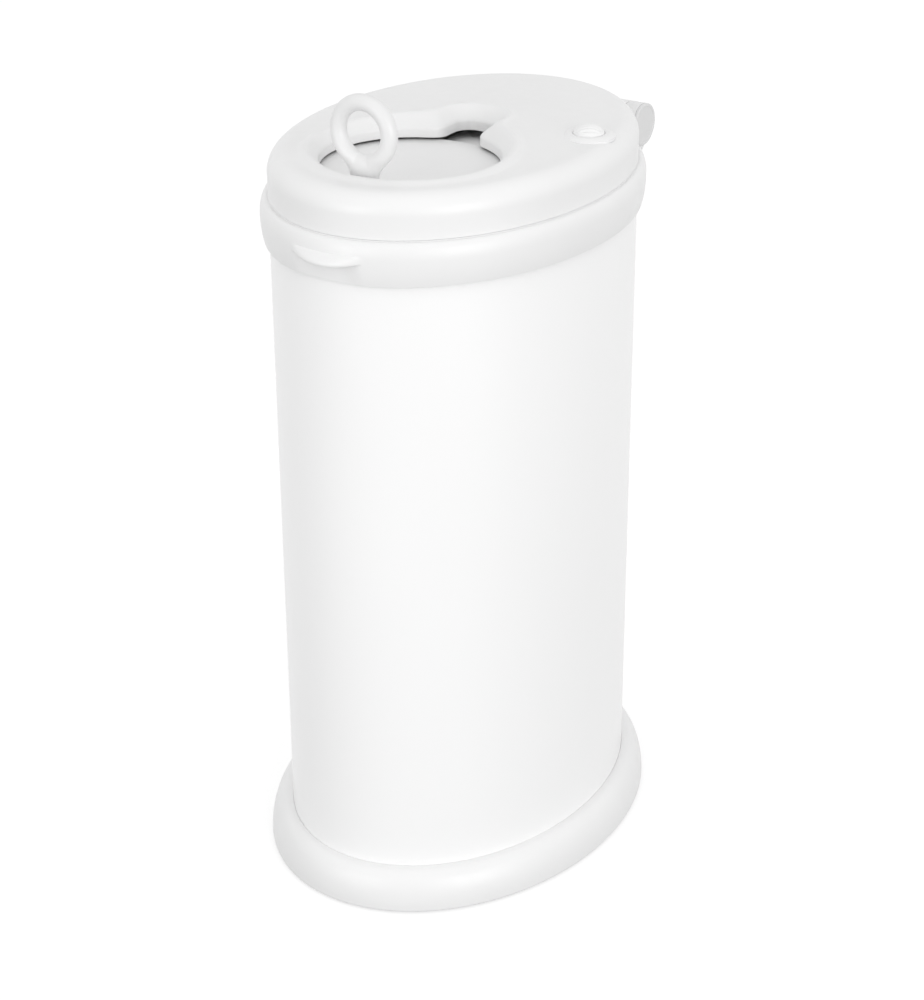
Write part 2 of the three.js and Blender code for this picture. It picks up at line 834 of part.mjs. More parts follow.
// Upright ring on a tapered stem whose foot rests on the door
function ringHandle() {
  const ring = new TorusGeometry(handleRadius, handleTube, smallSteps / 2, circleSteps);
  ring.rotateX(Math.PI / 2);
  ring.translate(0, handleY, handleZ);
  const shape = new Shape();
  const foot = doorTop + seatGap;
  const neck = handleZ - handleRadius;
  shape.moveTo(-stemHalfWidth, foot);
  shape.lineTo(stemHalfWidth, foot);
  shape.lineTo(stemTopHalfWidth, neck);
  shape.lineTo(-stemTopHalfWidth, neck);
  const stem = new ExtrudeGeometry(shape, { depth: stemThickness, bevelEnabled: false });
  stem.rotateX(Math.PI / 2);
  stem.translate(0, handleY + stemThickness / 2, 0);
  const screwTop = doorBottom + handleScrewHeadHeight + handleScrewBite + 2 * seatGap;
  return handleScrewPlaces().reduce(
    (sum, [x, y]) => sum.subtract(rod(handleScrewRadius + seatGap, x, y, doorTop, screwTop, screwSteps)),
    solid(ring).add(solid(stem)),
  );
}

// Runner under one wing of the door, sliding on the tray
function doorGlide(side) {
  const x = side * (wingHalfSpan - glideInset - glideWidth / 2);
  const y = openingY + (wingBack - wingFront) / 2;
  return block(
    glideWidth, wingFront + wingBack - 2 * glideInset, x, y, trayTop + seatGap, doorBottom - seatGap,
  );
}

// Domed ring about the knob
function lockBezel() {
  const low = lockSeatTop + seatGap;
  const inner = knobRadius + knobGap;
  return turned([
    [bezelRadius, low],
    [bezelRadius, low + bezelShoulder],
    [(bezelRadius + inner) / 2, low + bezelShoulder + (bezelHeight - bezelShoulder) * bezelCrownShare],
    [inner, low + bezelHeight],
    [inner, low],
  ], lockX, lockY, circleSteps);
}

// Knob with a domed, ribbed top and a socket for the spindle
function lockKnob() {
  const low = lockSeatTop + seatGap;
  const top = low + knobHeight;
  const outline = [
    [0, low],
    [knobRadius, low],
    ...quarter(knobRadius, top - knobDome, knobRadius - knobDome, top),
    [0, top],
  ];
  let knob = turned(outline, lockX, lockY, circleSteps);
  for (let i = 0; i < knobRibCount; i += 1) {
    const y = lockY + (i - (knobRibCount - 1) / 2) * knobRibPitch;
    const groove = block(2 * knobRadius, knobRibWidth, lockX, y, top - knobRibDepth, top + cutOverrun);
    knob = knob.subtract(groove);
  }
  return knob.subtract(rod(spindleRadius + seatGap, lockX, lockY, low - cutOverrun, low + spindleHold));
}

function lockSpindle() {
  const top = lockSeatTop + spindleHold;
  const spindle = rod(spindleRadius, lockX, lockY, leverBottom, top);
  return spindle.subtract(rod(
    lockScrewRadius + seatGap, lockX, lockY,
    leverBottom - cutOverrun, leverBottom + lockScrewBite, screwSteps,
  ));
}

function lockWasher() {
  const low = leverTop + seatGap;
  const ring = rod(washerRadius, lockX, lockY, low, low + washerThickness);
  return ring.subtract(rod(
    spindleRadius + seatGap, lockX, lockY, low - cutOverrun, low + washerThickness + cutOverrun,
  ));
}

// Lever on the spindle; at rest it points to the front, clear of the lug's path
function lockLever() {
  const noseY = lockY - lockReach;
  const lever = rod(leverHub, lockX, lockY, leverBottom, leverTop)
    .add(block(leverWidth, lockReach, lockX, (lockY + noseY) / 2, leverBottom, leverTop))
    .add(rod(leverNose, lockX, noseY, leverBottom, leverTop));
  return lever.subtract(rod(
    spindleRadius + seatGap, lockX, lockY, leverBottom - cutOverrun, leverTop + cutOverrun,
  ));
}

function lockScrew() {
  return screw(
    lockX, lockY, leverBottom - seatGap - lockScrewHeadHeight, lockScrewHeadHeight,
    lockScrewHead, lockScrewRadius, lockScrewBite,
  );
}

// Finishes
function finish(color, roughness, metalness) {
  return () => new MeshStandardMaterial({ color, roughness, metalness });
}

const mouldedWhite = finish(0xf4f4f3, 0.38, 0);
const paintedSteel = finish(0xf6f6f6, 0.3, 0.1);
const innerPlastic = finish(0xe9e9e7, 0.5, 0);
const softSeal = finish(0xb9bbbd, 0.85, 0);
const padRubber = finish(0x9a9c9e, 0.9, 0);
const brightSteel = finish(0xc4c6c8, 0.3, 0.9);
const slipPlastic = finish(0xe2e4e4, 0.35, 0);

const bin = new Group();

function add(name, body, material) {
  const mesh = new Mesh(geometryOf(body), material());
  mesh.name = name;
  bin.add(mesh);
}

// Like pieces, numbered from one
function addEach(name, bodies, material) {
  bodies.forEach((body, i) => add(`${name}_${i + 1}`, body, material));
}

// Pail
add('base_ring', baseRing(), mouldedWhite);
addEach('foot_pad', padPlaces().map(footPad), padRubber);
add('floor_pan', floorPan(), innerPlastic);
add('body_shell', bodyShell(), paintedSteel);
add('collar', collar(), mouldedWhite);
addEach('collar_screw', collarScrews(), brightSteel);
add('bag_frame', bagFrame(), innerPlastic);
add('hinge_pin', hingePin(), brightSteel);
add('hinge_cap_left', hingeCap(-1), mouldedWhite);
add('hinge_cap_right', hingeCap(1), mouldedWhite);

// Lid
add('lid_shell', lidShell(), mouldedWhite);
add('lid_tray', lidTray(), innerPlastic);
add('notch_floor', notchFloor(), innerPlastic);
addEach('tray_screw', trayScrews(), brightSteel);
add('rim_seal', rimSeal(), softSeal);
add('door_seal', doorSeal(), softSeal);
add('guide_rail_left', guideRail(-1), slipPlastic);
add('guide_rail_right', guideRail(1), slipPlastic);
add('lock_bezel', lockBezel(), mouldedWhite);

// Door
add('sliding_door', slidingDoor(), mouldedWhite);
add('ring_handle', ringHandle(), mouldedWhite);
addEach('handle_screw', handleScrews(), brightSteel);
add('door_glide_left', doorGlide(-1), slipPlastic);
add('door_glide_right', doorGlide(1), slipPlastic);

// Child lock
add('lock_knob', lockKnob(), mouldedWhite);
add('lock_spindle', lockSpindle(), brightSteel);
add('lock_washer', lockWasher(), brightSteel);
add('lock_lever', lockLever(), innerPlastic);
add('lock_screw', lockScrew(), brightSteel);

export default bin;
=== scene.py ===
"""Oval nappy bin: fine surfaces, finishes and a plain stage over the packed model, in metres."""

import json
import math

import bmesh
import bpy
import numpy as np
from bpy.props import FloatProperty, PointerProperty, StringProperty
from mathutils import Matrix, Vector


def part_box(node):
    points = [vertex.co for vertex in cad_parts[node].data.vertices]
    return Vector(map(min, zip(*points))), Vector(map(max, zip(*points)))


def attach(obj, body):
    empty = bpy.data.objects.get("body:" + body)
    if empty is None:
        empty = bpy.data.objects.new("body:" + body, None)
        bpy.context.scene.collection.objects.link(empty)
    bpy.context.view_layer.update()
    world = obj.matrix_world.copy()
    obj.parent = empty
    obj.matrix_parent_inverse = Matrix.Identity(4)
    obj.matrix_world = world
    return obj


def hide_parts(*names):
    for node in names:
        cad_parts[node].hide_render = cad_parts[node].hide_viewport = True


bl_info = {
    "name": "Nappy bin",
    "version": (1, 0, 0),
    "blender": (4, 5, 0),
    "location": "View3D > Sidebar > Bin",
    "description": "Fine surfaces, finishes and stage for an oval nappy bin with a sliding door",
    "category": "Add Mesh",
}

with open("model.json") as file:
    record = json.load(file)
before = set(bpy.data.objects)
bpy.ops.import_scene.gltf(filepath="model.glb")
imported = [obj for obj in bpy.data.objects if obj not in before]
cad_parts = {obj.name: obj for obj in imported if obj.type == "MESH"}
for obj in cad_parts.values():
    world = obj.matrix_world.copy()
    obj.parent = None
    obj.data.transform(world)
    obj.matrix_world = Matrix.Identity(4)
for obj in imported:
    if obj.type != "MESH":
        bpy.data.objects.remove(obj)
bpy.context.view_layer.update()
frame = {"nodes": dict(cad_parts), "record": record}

MM = 0.001
TURN = 2 * math.pi
OVAL_STEPS = 384
RIM_STEPS = 432
BAND_STEPS = 256
FINE_STEPS = 192
ROUND_STEPS = 96
SMALL_STEPS = 48
PULL_STEPS, TUBE_STEPS = 320, 56
SHARP_ANGLE = math.radians(32)
# Places at which a curve is measured before it is stepped evenly
FINE_PLACES = 20001
# Points closer than the first are one, and edges shorter than the second go
WELD, SLIVER = 0.004 * MM, 0.002 * MM
# Part of a noise pattern's range that is used
PATTERN_LOW, PATTERN_HIGH = 0.3, 0.7
# Roundings of small edges, and the gap between pieces that are fitted to each other
CRISP, EDGE, SOFT = 0.3 * MM, 0.5 * MM, 0.8 * MM
FIT = 0.3 * MM
# How far an eased edge's middle lies inside the square corner, as a share of its size
EASED = 0.3
# Width of a soft seal
SEAL = 3 * MM
# Half the length of a cutter that runs past both ends of the hinge barrel
PAST = 80 * MM

# Lamps, floor and camera, in metres but for the sensor's width in millimetres
LAMP_SIZE, LAMP_AIM = (1.6, 1.8), (0, 0, 0.35)
KEY_PLACE, FILL_PLACE = (2.7, -1.2, 0.95), (-0.4, -2.9, 0.95)
FLOOR_HALF = 6
FLOOR_GREY = (0.4, 0.4, 0.4, 1)
SENSOR = 36
CLIP_START, CLIP_END = 0.05, 30


def low(node):
    """Lowest corner of a packed node."""
    return np.array(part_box(node)[0])


def high(node):
    """Highest corner of a packed node."""
    return np.array(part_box(node)[1])


def middle(node):
    """Centre of a packed node's box."""
    return (low(node) + high(node)) / 2


def span(node):
    """Heights of a packed node's foot and head."""
    return low(node)[2], high(node)[2]


def length(name, description, default):
    """A length property in metres."""
    return FloatProperty(
        name=name, description=description, default=float(default), unit="LENGTH", precision=5
    )


def share(name, description, default, unit="NONE"):
    """A number property, plain or in a unit."""
    return FloatProperty(name=name, description=description, default=default, precision=4, unit=unit)


def degrees(name, description, default):
    """An angle property, given in degrees."""
    return FloatProperty(
        name=name, description=description, default=math.radians(default), subtype="ANGLE", precision=4
    )


def tint(name, description, default):
    """A colour property that holds an sRGB hex value."""
    return StringProperty(name=name, description=description, default=default)


class BinPail(bpy.types.PropertyGroup):
    """Sizes of the steel body, its base, its collar and the fittings inside."""

    half_width: length("Half width", "Half the steel oval's width", high("body_shell")[0])
    half_length: length("Half length", "Half the steel oval's length", high("body_shell")[1])
    steel: length("Steel", "Thickness of the sheet", 1.0 * MM)
    core: length("Core inset", "Inset past which the oval shrinks to its middle", 24 * MM)
    base_crown: length("Base crown", "How far the base's top edge stands off the steel", 1.0 * MM)
    base_power: share("Base roundness", "Power of the base's curve, 2 being a plain ellipse", 2.2)
    base_edge: length("Base edge", "Radius of the base's lowest edge", 1.4 * MM)
    base_seam: length("Base seam", "Gap between the base and the steel", 0.04 * MM)
    collar_low: length("Collar foot", "Height of the collar's lower edge", 511 * MM)
    collar_high: length("Collar head", "Height of the collar's upper edge", 542.7 * MM)
    collar_foot: length("Collar foot reach", "How far the lower edge stands off the steel", 4.0 * MM)
    collar_belly: length("Collar belly", "How far the collar's belly stands off the steel", 6.3 * MM)
    collar_head: length("Collar head reach", "How far the upper edge stands off the steel", 0.8 * MM)
    seam_gap: length("Seam gap", "Gap between the collar's upper land and the lid", 0.12 * MM)
    belly_share: share("Belly height", "Height of the belly as a share of the collar's height", 0.63)
    lip_half: length("Lip half width", "Half the width of the finger lip", 28 * MM)
    lip_reach: length("Lip reach", "How far the finger lip stands out past the belly", 5.4 * MM)
    lip_height: length("Lip height", "Height of the lip's lower edge over the collar's foot", 12.8 * MM)
    lip_rise: length("Lip rise", "How much higher the lip's ends are than its middle", 3.6 * MM)
    lip_scoop: length("Lip scoop", "How far the scoop under the lip stands off the steel", 2.0 * MM)


class BinLid(bpy.types.PropertyGroup):
    """Sizes of the lid, its opening and the hinge barrel."""

    seam: length("Seam height", "Height of the lid's lower edge", 543.3 * MM)
    top: length("Top height", "Height of the middle of the crown", 580 * MM)
    crown: length("Crown rise", "Rise of the crown over the shoulder", 5 * MM)
    shoulder: length("Shoulder radius", "Radius of the rounding between wall and top", 15 * MM)
    wall: length("Wall", "Thickness of the lid's shell", 3 * MM)
    opening_radius: length("Opening radius", "Radius of the round opening", 65 * MM)
    opening_y: length("Opening place", "Place of the opening's centre along the bin", -62 * MM)
    notch_half: length("Notch half width", "Half the width of the notch behind the opening", 16 * MM)
    notch_reach: length("Notch reach", "From the opening's centre to the notch's back wall", 96.4 * MM)
    notch_corner: length("Notch corner", "Radius of the notch's back corners", 12.5 * MM)
    notch_blend: length("Notch blend", "Softness of the corner between circle and notch", 9 * MM)
    rim_low: length("Rim foot", "Height of the lower edge of the wall round the opening", 563.5 * MM)
    notch_drop: length("Notch drop", "How much lower that edge lies round the notch", 0.9 * MM)
    rim_wall: length("Rim wall", "Thickness of the wall round the opening", 2.6 * MM)
    rim_round: length("Rim rounding", "Radius of the edge between funnel and wall", 1.6 * MM)
    funnel: length("Funnel height", "Height at which the funnel round the opening starts", 571 * MM)
    funnel_slope: share("Funnel slope", "Rise of the funnel for each unit outwards", 0.9)
    swell: length("Swell", "How far the lid's top swells up round the opening", 1.7 * MM)
    swell_foot: length("Swell foot", "How far from the opening the swell ends", 17 * MM)
    swell_slope: share("Swell slope", "Fall of the swell for each unit outwards", 0.34)
    hinge_radius: length(
        "Hinge radius",
        "Radius of the hinge barrel",
        high("hinge_cap_left")[2] - middle("hinge_cap_left")[2],
    )
    hinge_gap: length("Hinge gap", "Clearance between turning and fixed pieces", 0.6 * MM)
    knuckle_half: length("Knuckle half width", "Half the length of the lid's knuckle", 53.7 * MM)


class BinDoor(bpy.types.PropertyGroup):
    """Sizes of the sliding door, its ring and the child lock."""

    door_radius: length("Door radius", "Radius of the round door", 70 * MM)
    dish_radius: length("Dish radius", "Radius of the dish in the door", 56 * MM)
    dish_depth: length("Dish depth", "Depth of the dish in the door", 2.4 * MM)
    ring_radius: length("Ring radius", "Radius of the ring's centre line", 21.2 * MM)
    ring_tube: length("Ring tube", "Radius of the ring's tube", 6.0 * MM)
    stem_foot: length("Stem foot", "Half the stem's width where it stands on the door", 11 * MM)
    stem_depth: length("Stem depth", "Half the stem's thickness", 5.6 * MM)
    stem_blend: length("Stem blend", "Softness of the corner between the ring and its stem", 15 * MM)
    stem_sink: length("Stem sink", "How far the stem runs down into the door", 1.2 * MM)
    knob_rib: length("Knob rib pitch", "Distance between the ribs on the lock's knob", 3.2 * MM)
    knob_groove: length("Knob groove", "Depth of the grooves between the ribs", 0.75 * MM)
    knob_gap: length("Knob gap", "Clearance round the knob", 0.15 * MM)
    rib_turn: degrees("Rib turn", "Turn of the ribs from the bin's width", 32)
    bezel_root: length("Bezel root", "How far the ring round the knob runs down into the lid", 1.6 * MM)
    bezel_sink: length("Bezel sink", "How far that ring lies under its packed height", 0.9 * MM)
    lever_reach: length("Lever reach", "Length of the lock's lever under the lid", 52 * MM)
    lever_turn: degrees("Lever turn", "Turn of the lever from open to locked", 48)
    lug_width: length("Lug width", "Width of the lug that the lever blocks", 6 * MM)
    lug_depth: length("Lug depth", "Depth of that lug along the bin", 4 * MM)
    lug_play: length("Lug play", "From the lever's tip circle to the lug", 4.6 * MM)


class BinFinish(bpy.types.PropertyGroup):
    """Colours of the finishes, as sRGB hex values."""

    moulded: tint("Moulded white", "Colour of the moulded lid, collar and base", "EDEDED")
    # The hinge covers are the lid's white ABS, a shade greyer: painted shade for their side-facing discs
    cap: tint("Hinge covers", "Colour of the hinge covers, a shade greyer than the lid", "DFDFDF")
    # The ring is the lid's white ABS, darkened as painted shade to tone down its front faces where the
    # lamps light them brightly
    ring: tint("Ring", "Colour of the ring, a touch greyer than the lid", "E7E7E7")
    coat: tint("White coat", "Colour of the coated steel", "F8F8F8")
    inner: tint("Inner plastic", "Colour of the plastic inside", "ECECEA")
    seal: tint("Seal", "Colour of the soft seals", "BBBDBF")
    pad: tint("Pads", "Colour of the rubber pads", "9A9C9E")
    zinc: tint("Zinc", "Colour of the plated screws and pins", "C9CBCC")
    slide: tint("Slides", "Colour of the rails and runners", "E4E6E6")


class BinStudio(bpy.types.PropertyGroup):
    """The camera's place and the light's strength."""

    azimuth: degrees("Azimuth", "How far the camera stands to the right of the front", 32.5)
    elevation: degrees("Elevation", "How far the camera looks down", 26.2)
    distance: length("Distance", "From the camera to the point it looks at", 1851.5 * MM)
    aim_height: length("Aim height", "Height of the point that the camera looks at", 271.6 * MM)
    aim_side: length("Aim side", "How far to the right of the bin's middle the camera looks", 2.3 * MM)
    roll: degrees("Roll", "How far the camera is rolled", -0.3)
    lens: share("Lens", "Focal length on a 36 mm sensor", 84.6, "CAMERA")
    sky: share("Sky", "Strength of the light from all round", 0.86)
    key: share("Key lamp", "Power of the large lamp at the right", 26.5, "POWER")
    fill: share("Fill lamp", "Power of the large lamp at the left", 17.0, "POWER")
    glow: share("Floor glow", "Strength of the floor's own light where it is seen", 0.67)
    backdrop: tint("Backdrop", "Colour behind the bin", "FFFFFF")


SCENE_GROUPS = {
    "bin_pail": BinPail,
    "bin_lid": BinLid,
    "bin_door": BinDoor,
    "bin_finish": BinFinish,
    "bin_studio": BinStudio,
}


# Surfaces


def soft_min(a, b, reach):
    """The smaller of two values, with the crease between them rounded over the reach."""
    mix = np.clip(0.5 + 0.5 * (b - a) / reach, 0, 1)
    return b + (a - b) * mix - reach * mix * (1 - mix)


def ease(x):
    """Smooth step from 0 to 1."""
    t = np.clip(x, 0, 1)
    return t * t * (3 - 2 * t)


def rounded(corners, steps=5):
    """Outline through corners (across, up, radius), each an arc that touches both of its sides.

    An arc takes up less than half of a side, and a corner that is all but straight stays a point.
    """
    longest, straight = 0.48, math.radians(88)
    points = []
    for i, (x, z, radius) in enumerate(corners):
        here = np.array([x, z])
        back = np.array(corners[i - 1][:2]) - here
        ahead = np.array(corners[(i + 1) % len(corners)][:2]) - here
        back_len, ahead_len = np.linalg.norm(back), np.linalg.norm(ahead)
        back, ahead = back / back_len, ahead / ahead_len
        half = math.acos(float(np.clip(back @ ahead, -1, 1))) / 2
        if radius <= 0 or half > straight:
            points.append(here[None])
            continue
        run = min(radius / math.tan(half), longest * back_len, longest * ahead_len)
        radius = run * math.tan(half)
        centre = here + (back + ahead) / np.linalg.norm(back + ahead) * radius / math.sin(half)
        start, end = here + back * run - centre, here + ahead * run - centre
        t = np.linspace(0, 1, steps)[:, None]
        sweep = math.pi - 2 * half
        arc = (np.sin((1 - t) * sweep) * start + np.sin(t * sweep) * end) / math.sin(sweep)
        points.append(centre + arc)
    return np.concatenate(points)


def oval(angle, offset):
    """Point of the oval at an angle, whose half axes are the steel's and an offset.

    Past the core both of them shrink to nothing in the same proportion.
    """
    pail = bpy.context.scene.bin_pail
    inner = pail.half_length - pail.core
    radius = pail.half_length + offset
    shrunk = radius * (pail.half_width - pail.core) / inner
    across = np.where(radius < inner, shrunk, pail.half_width + offset)
    return across * np.cos(angle), radius * np.sin(angle)


def oval_grid(angle, offset, height):
    """Grid of offsets and heights at angles round the oval."""
    x, y = oval(angle, offset)
    return np.stack([x, y, np.broadcast_to(height, x.shape)], axis=-1)


def around(outline, steps=OVAL_STEPS):
    """Grid of an outline of [offset, height] carried round the oval."""
    angle = np.linspace(0, TURN, steps, endpoint=False)[:, None]
    return oval_grid(angle, *np.asarray(outline).T)


def turned(outline, centre, axis="z", steps=ROUND_STEPS):
    """Grid of an outline of [radius, place along the axis] turned about an axis through the centre."""
    angle = np.linspace(0, TURN, steps, endpoint=False)[:, None]
    radius, along = np.asarray(outline).T
    a, b = radius * np.cos(angle), radius * np.sin(angle)
    along = np.broadcast_to(along, a.shape)
    order = {"z": (a, b, along), "x": (along, a, b)}[axis]
    return np.stack(order, axis=-1) + np.asarray(centre)


def cylinder(radius, start, end, centre, axis="z"):
    """Grid of a plain cylinder between two places along its axis."""
    return turned([(0, start), (radius, start), (radius, end), (0, end)], centre, axis)


def slab(outline, low_z, high_z, edge=EDGE):
    """Grid of a flat outline raised from one height to another, its edges eased.

    The rows run from a pole in the lower face outwards, up the side and in to a pole in the upper one.
    """
    points = np.asarray(outline)
    centre = points.mean(axis=0)
    reach = np.linalg.norm(points - centre, axis=1, keepdims=True)
    rows = [(reach, low_z), (edge, low_z), (edge * EASED, low_z + edge * EASED), (0, low_z + edge)]
    rows += [(inset, low_z + high_z - z) for inset, z in reversed(rows)]
    towards = (centre - points) / reach
    grid = [np.column_stack([points + towards * inset, np.full(len(points), z)]) for inset, z in rows]
    return np.stack(grid, axis=1)


def block(low_corner, high_corner, corner=1.5 * MM):
    """Grid of a box with rounded upright edges."""
    (x0, y0, z0), (x1, y1, z1) = low_corner, high_corner
    outline = rounded([(x0, y0, corner), (x1, y0, corner), (x1, y1, corner), (x0, y1, corner)], 6)
    return slab(outline, z0, z1)


def placed(name, data):
    """Object that holds the data, linked to the scene."""
    item = bpy.data.objects.new(name, data)
    bpy.context.scene.collection.objects.link(item)
    return item


def make(name, grids):
    """Mesh object from grids that are closed both ways: the last row and column join the first."""
    points, faces, count = [], [], 0
    for grid in grids:
        rows, columns = grid.shape[:2]
        index = np.arange(rows * columns).reshape(rows, columns) + count
        index = np.pad(index, ((0, 1), (0, 1)), mode="wrap")
        quads = np.stack([index[:-1, :-1], index[1:, :-1], index[1:, 1:], index[:-1, 1:]], axis=-1)
        faces += quads.reshape(-1, 4).tolist()
        points.append(grid.reshape(-1, 3))
        count += rows * columns
    mesh = bpy.data.meshes.new(name)
    mesh.from_pydata(np.concatenate(points).tolist(), [], faces)
    piece = placed(name, mesh)
    tidy(piece)
    return piece


def tidy(piece):
    """Closes poles and seams, turns faces outwards and shades them smooth up to the sharp angle."""
    shape = bmesh.new()
    shape.from_mesh(piece.data)
    bmesh.ops.remove_doubles(shape, verts=shape.verts, dist=WELD)
    bmesh.ops.dissolve_degenerate(shape, edges=shape.edges, dist=SLIVER)
    bmesh.ops.recalc_face_normals(shape, faces=shape.faces)
    shape.to_mesh(piece.data)
    shape.free()
    piece.data.shade_smooth()
    piece.data.set_sharp_from_angle(angle=SHARP_ANGLE)


def settle(piece):
    """Applies the piece's modifiers to its mesh."""
    graph = bpy.context.evaluated_depsgraph_get()
    old, piece.data = piece.data, bpy.data.meshes.new_from_object(piece.evaluated_get(graph))
    piece.modifiers.clear()
    bpy.data.meshes.remove(old)
    piece.data.name = piece.name


def carve(piece, grids):
    """Cuts closed shapes out of a piece."""
    for i, grid in enumerate(grids):
        cutter = make(f"{piece.name}_cutter_{i}", [grid])
        cut = piece.modifiers.new("cut", "BOOLEAN")
        cut.operation = "DIFFERENCE"
        cut.solver = "EXACT"
        cut.object = cutter
        settle(piece)
        bpy.data.objects.remove(cutter)
    tidy(piece)


def build(name, grids, body, slot, *nodes, cuts=()):
    """Makes a piece, carves it, and puts it on its body in the place of its packed nodes."""
    piece = make(name, grids)
    if cuts:
        carve(piece, cuts)
    piece.data.materials.clear()
    piece.data.materials.append(FINISHES[slot]())
    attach(piece, body)
    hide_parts(*nodes)
    return piece


# Finishes


def linear(hexcode):
    """Linear colour of an sRGB hex value."""
    channels = [int(hexcode[i : i + 2], 16) / 255 for i in (0, 2, 4)]
    return (*[c / 12.92 if c <= 0.04045 else ((c + 0.055) / 1.055) ** 2.4 for c in channels], 1.0)


def node(tree, kind, settings=None, links=None, **sockets):
    """Adds a node, sets its properties and socket values, and links its inputs."""
    made = tree.nodes.new(kind)
    for key, value in (settings or {}).items():
        setattr(made, key, value)
    for key, value in sockets.items():
        made.inputs[key.replace("_", " ")].default_value = value
    for key, output in (links or {}).items():
        tree.links.new(output, made.inputs[key])
    return made


def finish(name, hue, kept, cloud, rough, grain, dent=None, **sockets):
    """A Principled material whose shade, roughness and relief each follow a noise pattern.

    The shade runs from the kept share of the colour to the whole of it. A pattern is its width in mm,
    its detail and its stretch. After it rough has the lowest and highest roughness, and grain the
    depth in mm and the strength of its bump. A dent is the same two numbers for a bump of the cloud.
    """
    material = bpy.data.materials.get(name)
    if material:
        return material
    material = bpy.data.materials.new(name)
    material.use_nodes = True
    tree = material.node_tree
    shader = tree.nodes["Principled BSDF"]
    for key, value in sockets.items():
        shader.inputs[key.replace("_", " ")].default_value = value
    light = getattr(bpy.context.scene.bin_finish, hue)
    dark = "".join(f"{round(int(light[i:i + 2], 16) * kept):02X}" for i in (0, 2, 4))
    shade = speckle(tree, *cloud)
    tree.links.new(shade_range(tree, shade, dark, light), shader.inputs["Base Color"])
    *pattern, lowest, highest = rough
    value = value_range(tree, speckle(tree, *pattern), lowest, highest)
    tree.links.new(value, shader.inputs["Roughness"])
    *pattern, depth, strength = grain
    bump = relief(tree, shader, speckle(tree, *pattern), depth, strength)
    if dent:
        relief(tree, shader, shade, *dent, bump)
    return material


def speckle(tree, pattern_mm, detail=3.0, stretch=(1, 1, 1)):
    """Noise in object space whose blobs are about pattern_mm across."""
    coords = node(tree, "ShaderNodeTexCoord")
    place = node(tree, "ShaderNodeMapping", links={"Vector": coords.outputs["Object"]}, Scale=stretch)
    links, scale = {"Vector": place.outputs["Vector"]}, 1 / (pattern_mm * MM)
    noise = node(tree, "ShaderNodeTexNoise", links=links, Scale=scale, Detail=detail, Roughness=0.55)
    return noise.outputs["Fac"]


def shade_range(tree, fac, dark, light):
    """Colour between two hex values along a pattern, over its middle range."""
    ramp = node(tree, "ShaderNodeValToRGB", links={"Fac": fac})
    ends = zip(ramp.color_ramp.elements, (PATTERN_LOW, PATTERN_HIGH), (dark, light))
    for end, position, colour in ends:
        end.position, end.color = position, linear(colour)
    return ramp.outputs["Color"]


def value_range(tree, fac, lowest, highest):
    """Number between two values along a pattern, over its middle range."""
    ends = {"From_Min": PATTERN_LOW, "From_Max": PATTERN_HIGH, "To_Min": lowest, "To_Max": highest}
    return node(tree, "ShaderNodeMapRange", links={"Value": fac}, **ends).outputs["Result"]


def relief(tree, shader, height, depth_mm, strength, under=None):
    """Bump of a pattern with a real depth, over another bump if one is given."""
    links = {"Height": height}
    if under is not None:
        links["Normal"] = under.outputs["Normal"]
    bump = node(tree, "ShaderNodeBump", links=links, Strength=strength, Distance=depth_mm * MM)
    tree.links.new(bump.outputs["Normal"], shader.inputs["Normal"])
    return bump


def moulded_abs(name="abs_moulded_white", hue="moulded"):
    """ABS moulded in a fine spark-eroded tool: a soft sheen, broken up by grain too fine to count."""
    rough = (9, 3, 0.3, 0.42)
    # The real grain is 0.1 mm wide and would vanish, so it is drawn at 0.7 mm
    grain = (0.7, 2, 0.012, 0.5)
    return finish(name, hue, 0.992, (70, 2), rough, grain, (0.25, 0.25), IOR=1.53)


def coated_steel():
    """Powder coat on rolled sheet: glossy white with orange peel, over sheet that is not quite true."""
    cloud, rough, peel = (90, 1, (1, 1, 0.45)), (14, 3, 0.33, 0.37), (2.6, 0, 0.003, 0.15)
    coat = {"IOR": 1.5, "Coat_Weight": 0.25, "Coat_Roughness": 0.12, "Coat_IOR": 1.5}
    return finish("powder_coat_white_on_steel", "coat", 0.994, cloud, rough, peel, (0.3, 0.1), **coat)


def moulded_pp():
    """Polypropylene moulded plain: duller and a little warmer, with faint flow clouds."""
    rough, grain = (6, 3, 0.42, 0.55), (0.8, 2, 0.02, 0.5)
    return finish("polypropylene_moulded_white", "inner", 0.98, (35, 3), rough, grain, IOR=1.49)


def moulded_tpe():
    """Soft thermoplastic rubber, moulded: dull grey with a dry, slightly clouded skin."""
    rough, grain = (3, 3, 0.72, 0.88), (0.6, 3, 0.03, 0.6)
    dry = {"IOR": 1.5, "Sheen_Weight": 0.15}
    return finish("tpe_rubber_moulded_grey", "seal", 0.94, (5, 3), rough, grain, **dry)


def moulded_rubber():
    """Nitrile rubber pads, compression moulded: dull and dark, scuffed where they meet the floor."""
    rough, grain = (1.5, 3, 0.75, 0.95), (0.5, 3, 0.05, 0.7)
    return finish("nitrile_rubber_moulded_grey", "pad", 0.85, (2.5, 3), rough, grain, IOR=1.52)


def plated_steel():
    """Zinc-plated steel, drawn and tumbled: bright grey with a faint spangle and fine scratches."""
    rough, scratch = (0.8, 2, (1, 1, 6), 0.22, 0.4), (0.5, 2, (1, 1, 8), 0.01, 0.5)
    return finish("zinc_plated_steel", "zinc", 0.9, (1.2, 3), rough, scratch, Metallic=1.0)


def moulded_acetal():
    """Acetal slides, moulded and waxy: cool white with faint rubbing marks along the travel."""
    marks = (1, 2, (1, 0.08, 1))
    rough, grain = (*marks, 0.28, 0.4), (*marks, 0.01, 0.4)
    return finish("acetal_moulded_white", "slide", 0.975, (12, 3), rough, grain, IOR=1.48)


FINISHES = {
    "moulded_white": moulded_abs,
    "painted_steel": coated_steel,
    "inner_plastic": moulded_pp,
    "soft_seal": moulded_tpe,
    "pad_rubber": moulded_rubber,
    "bright_steel": plated_steel,
    "slip_plastic": moulded_acetal,
}


# Pail


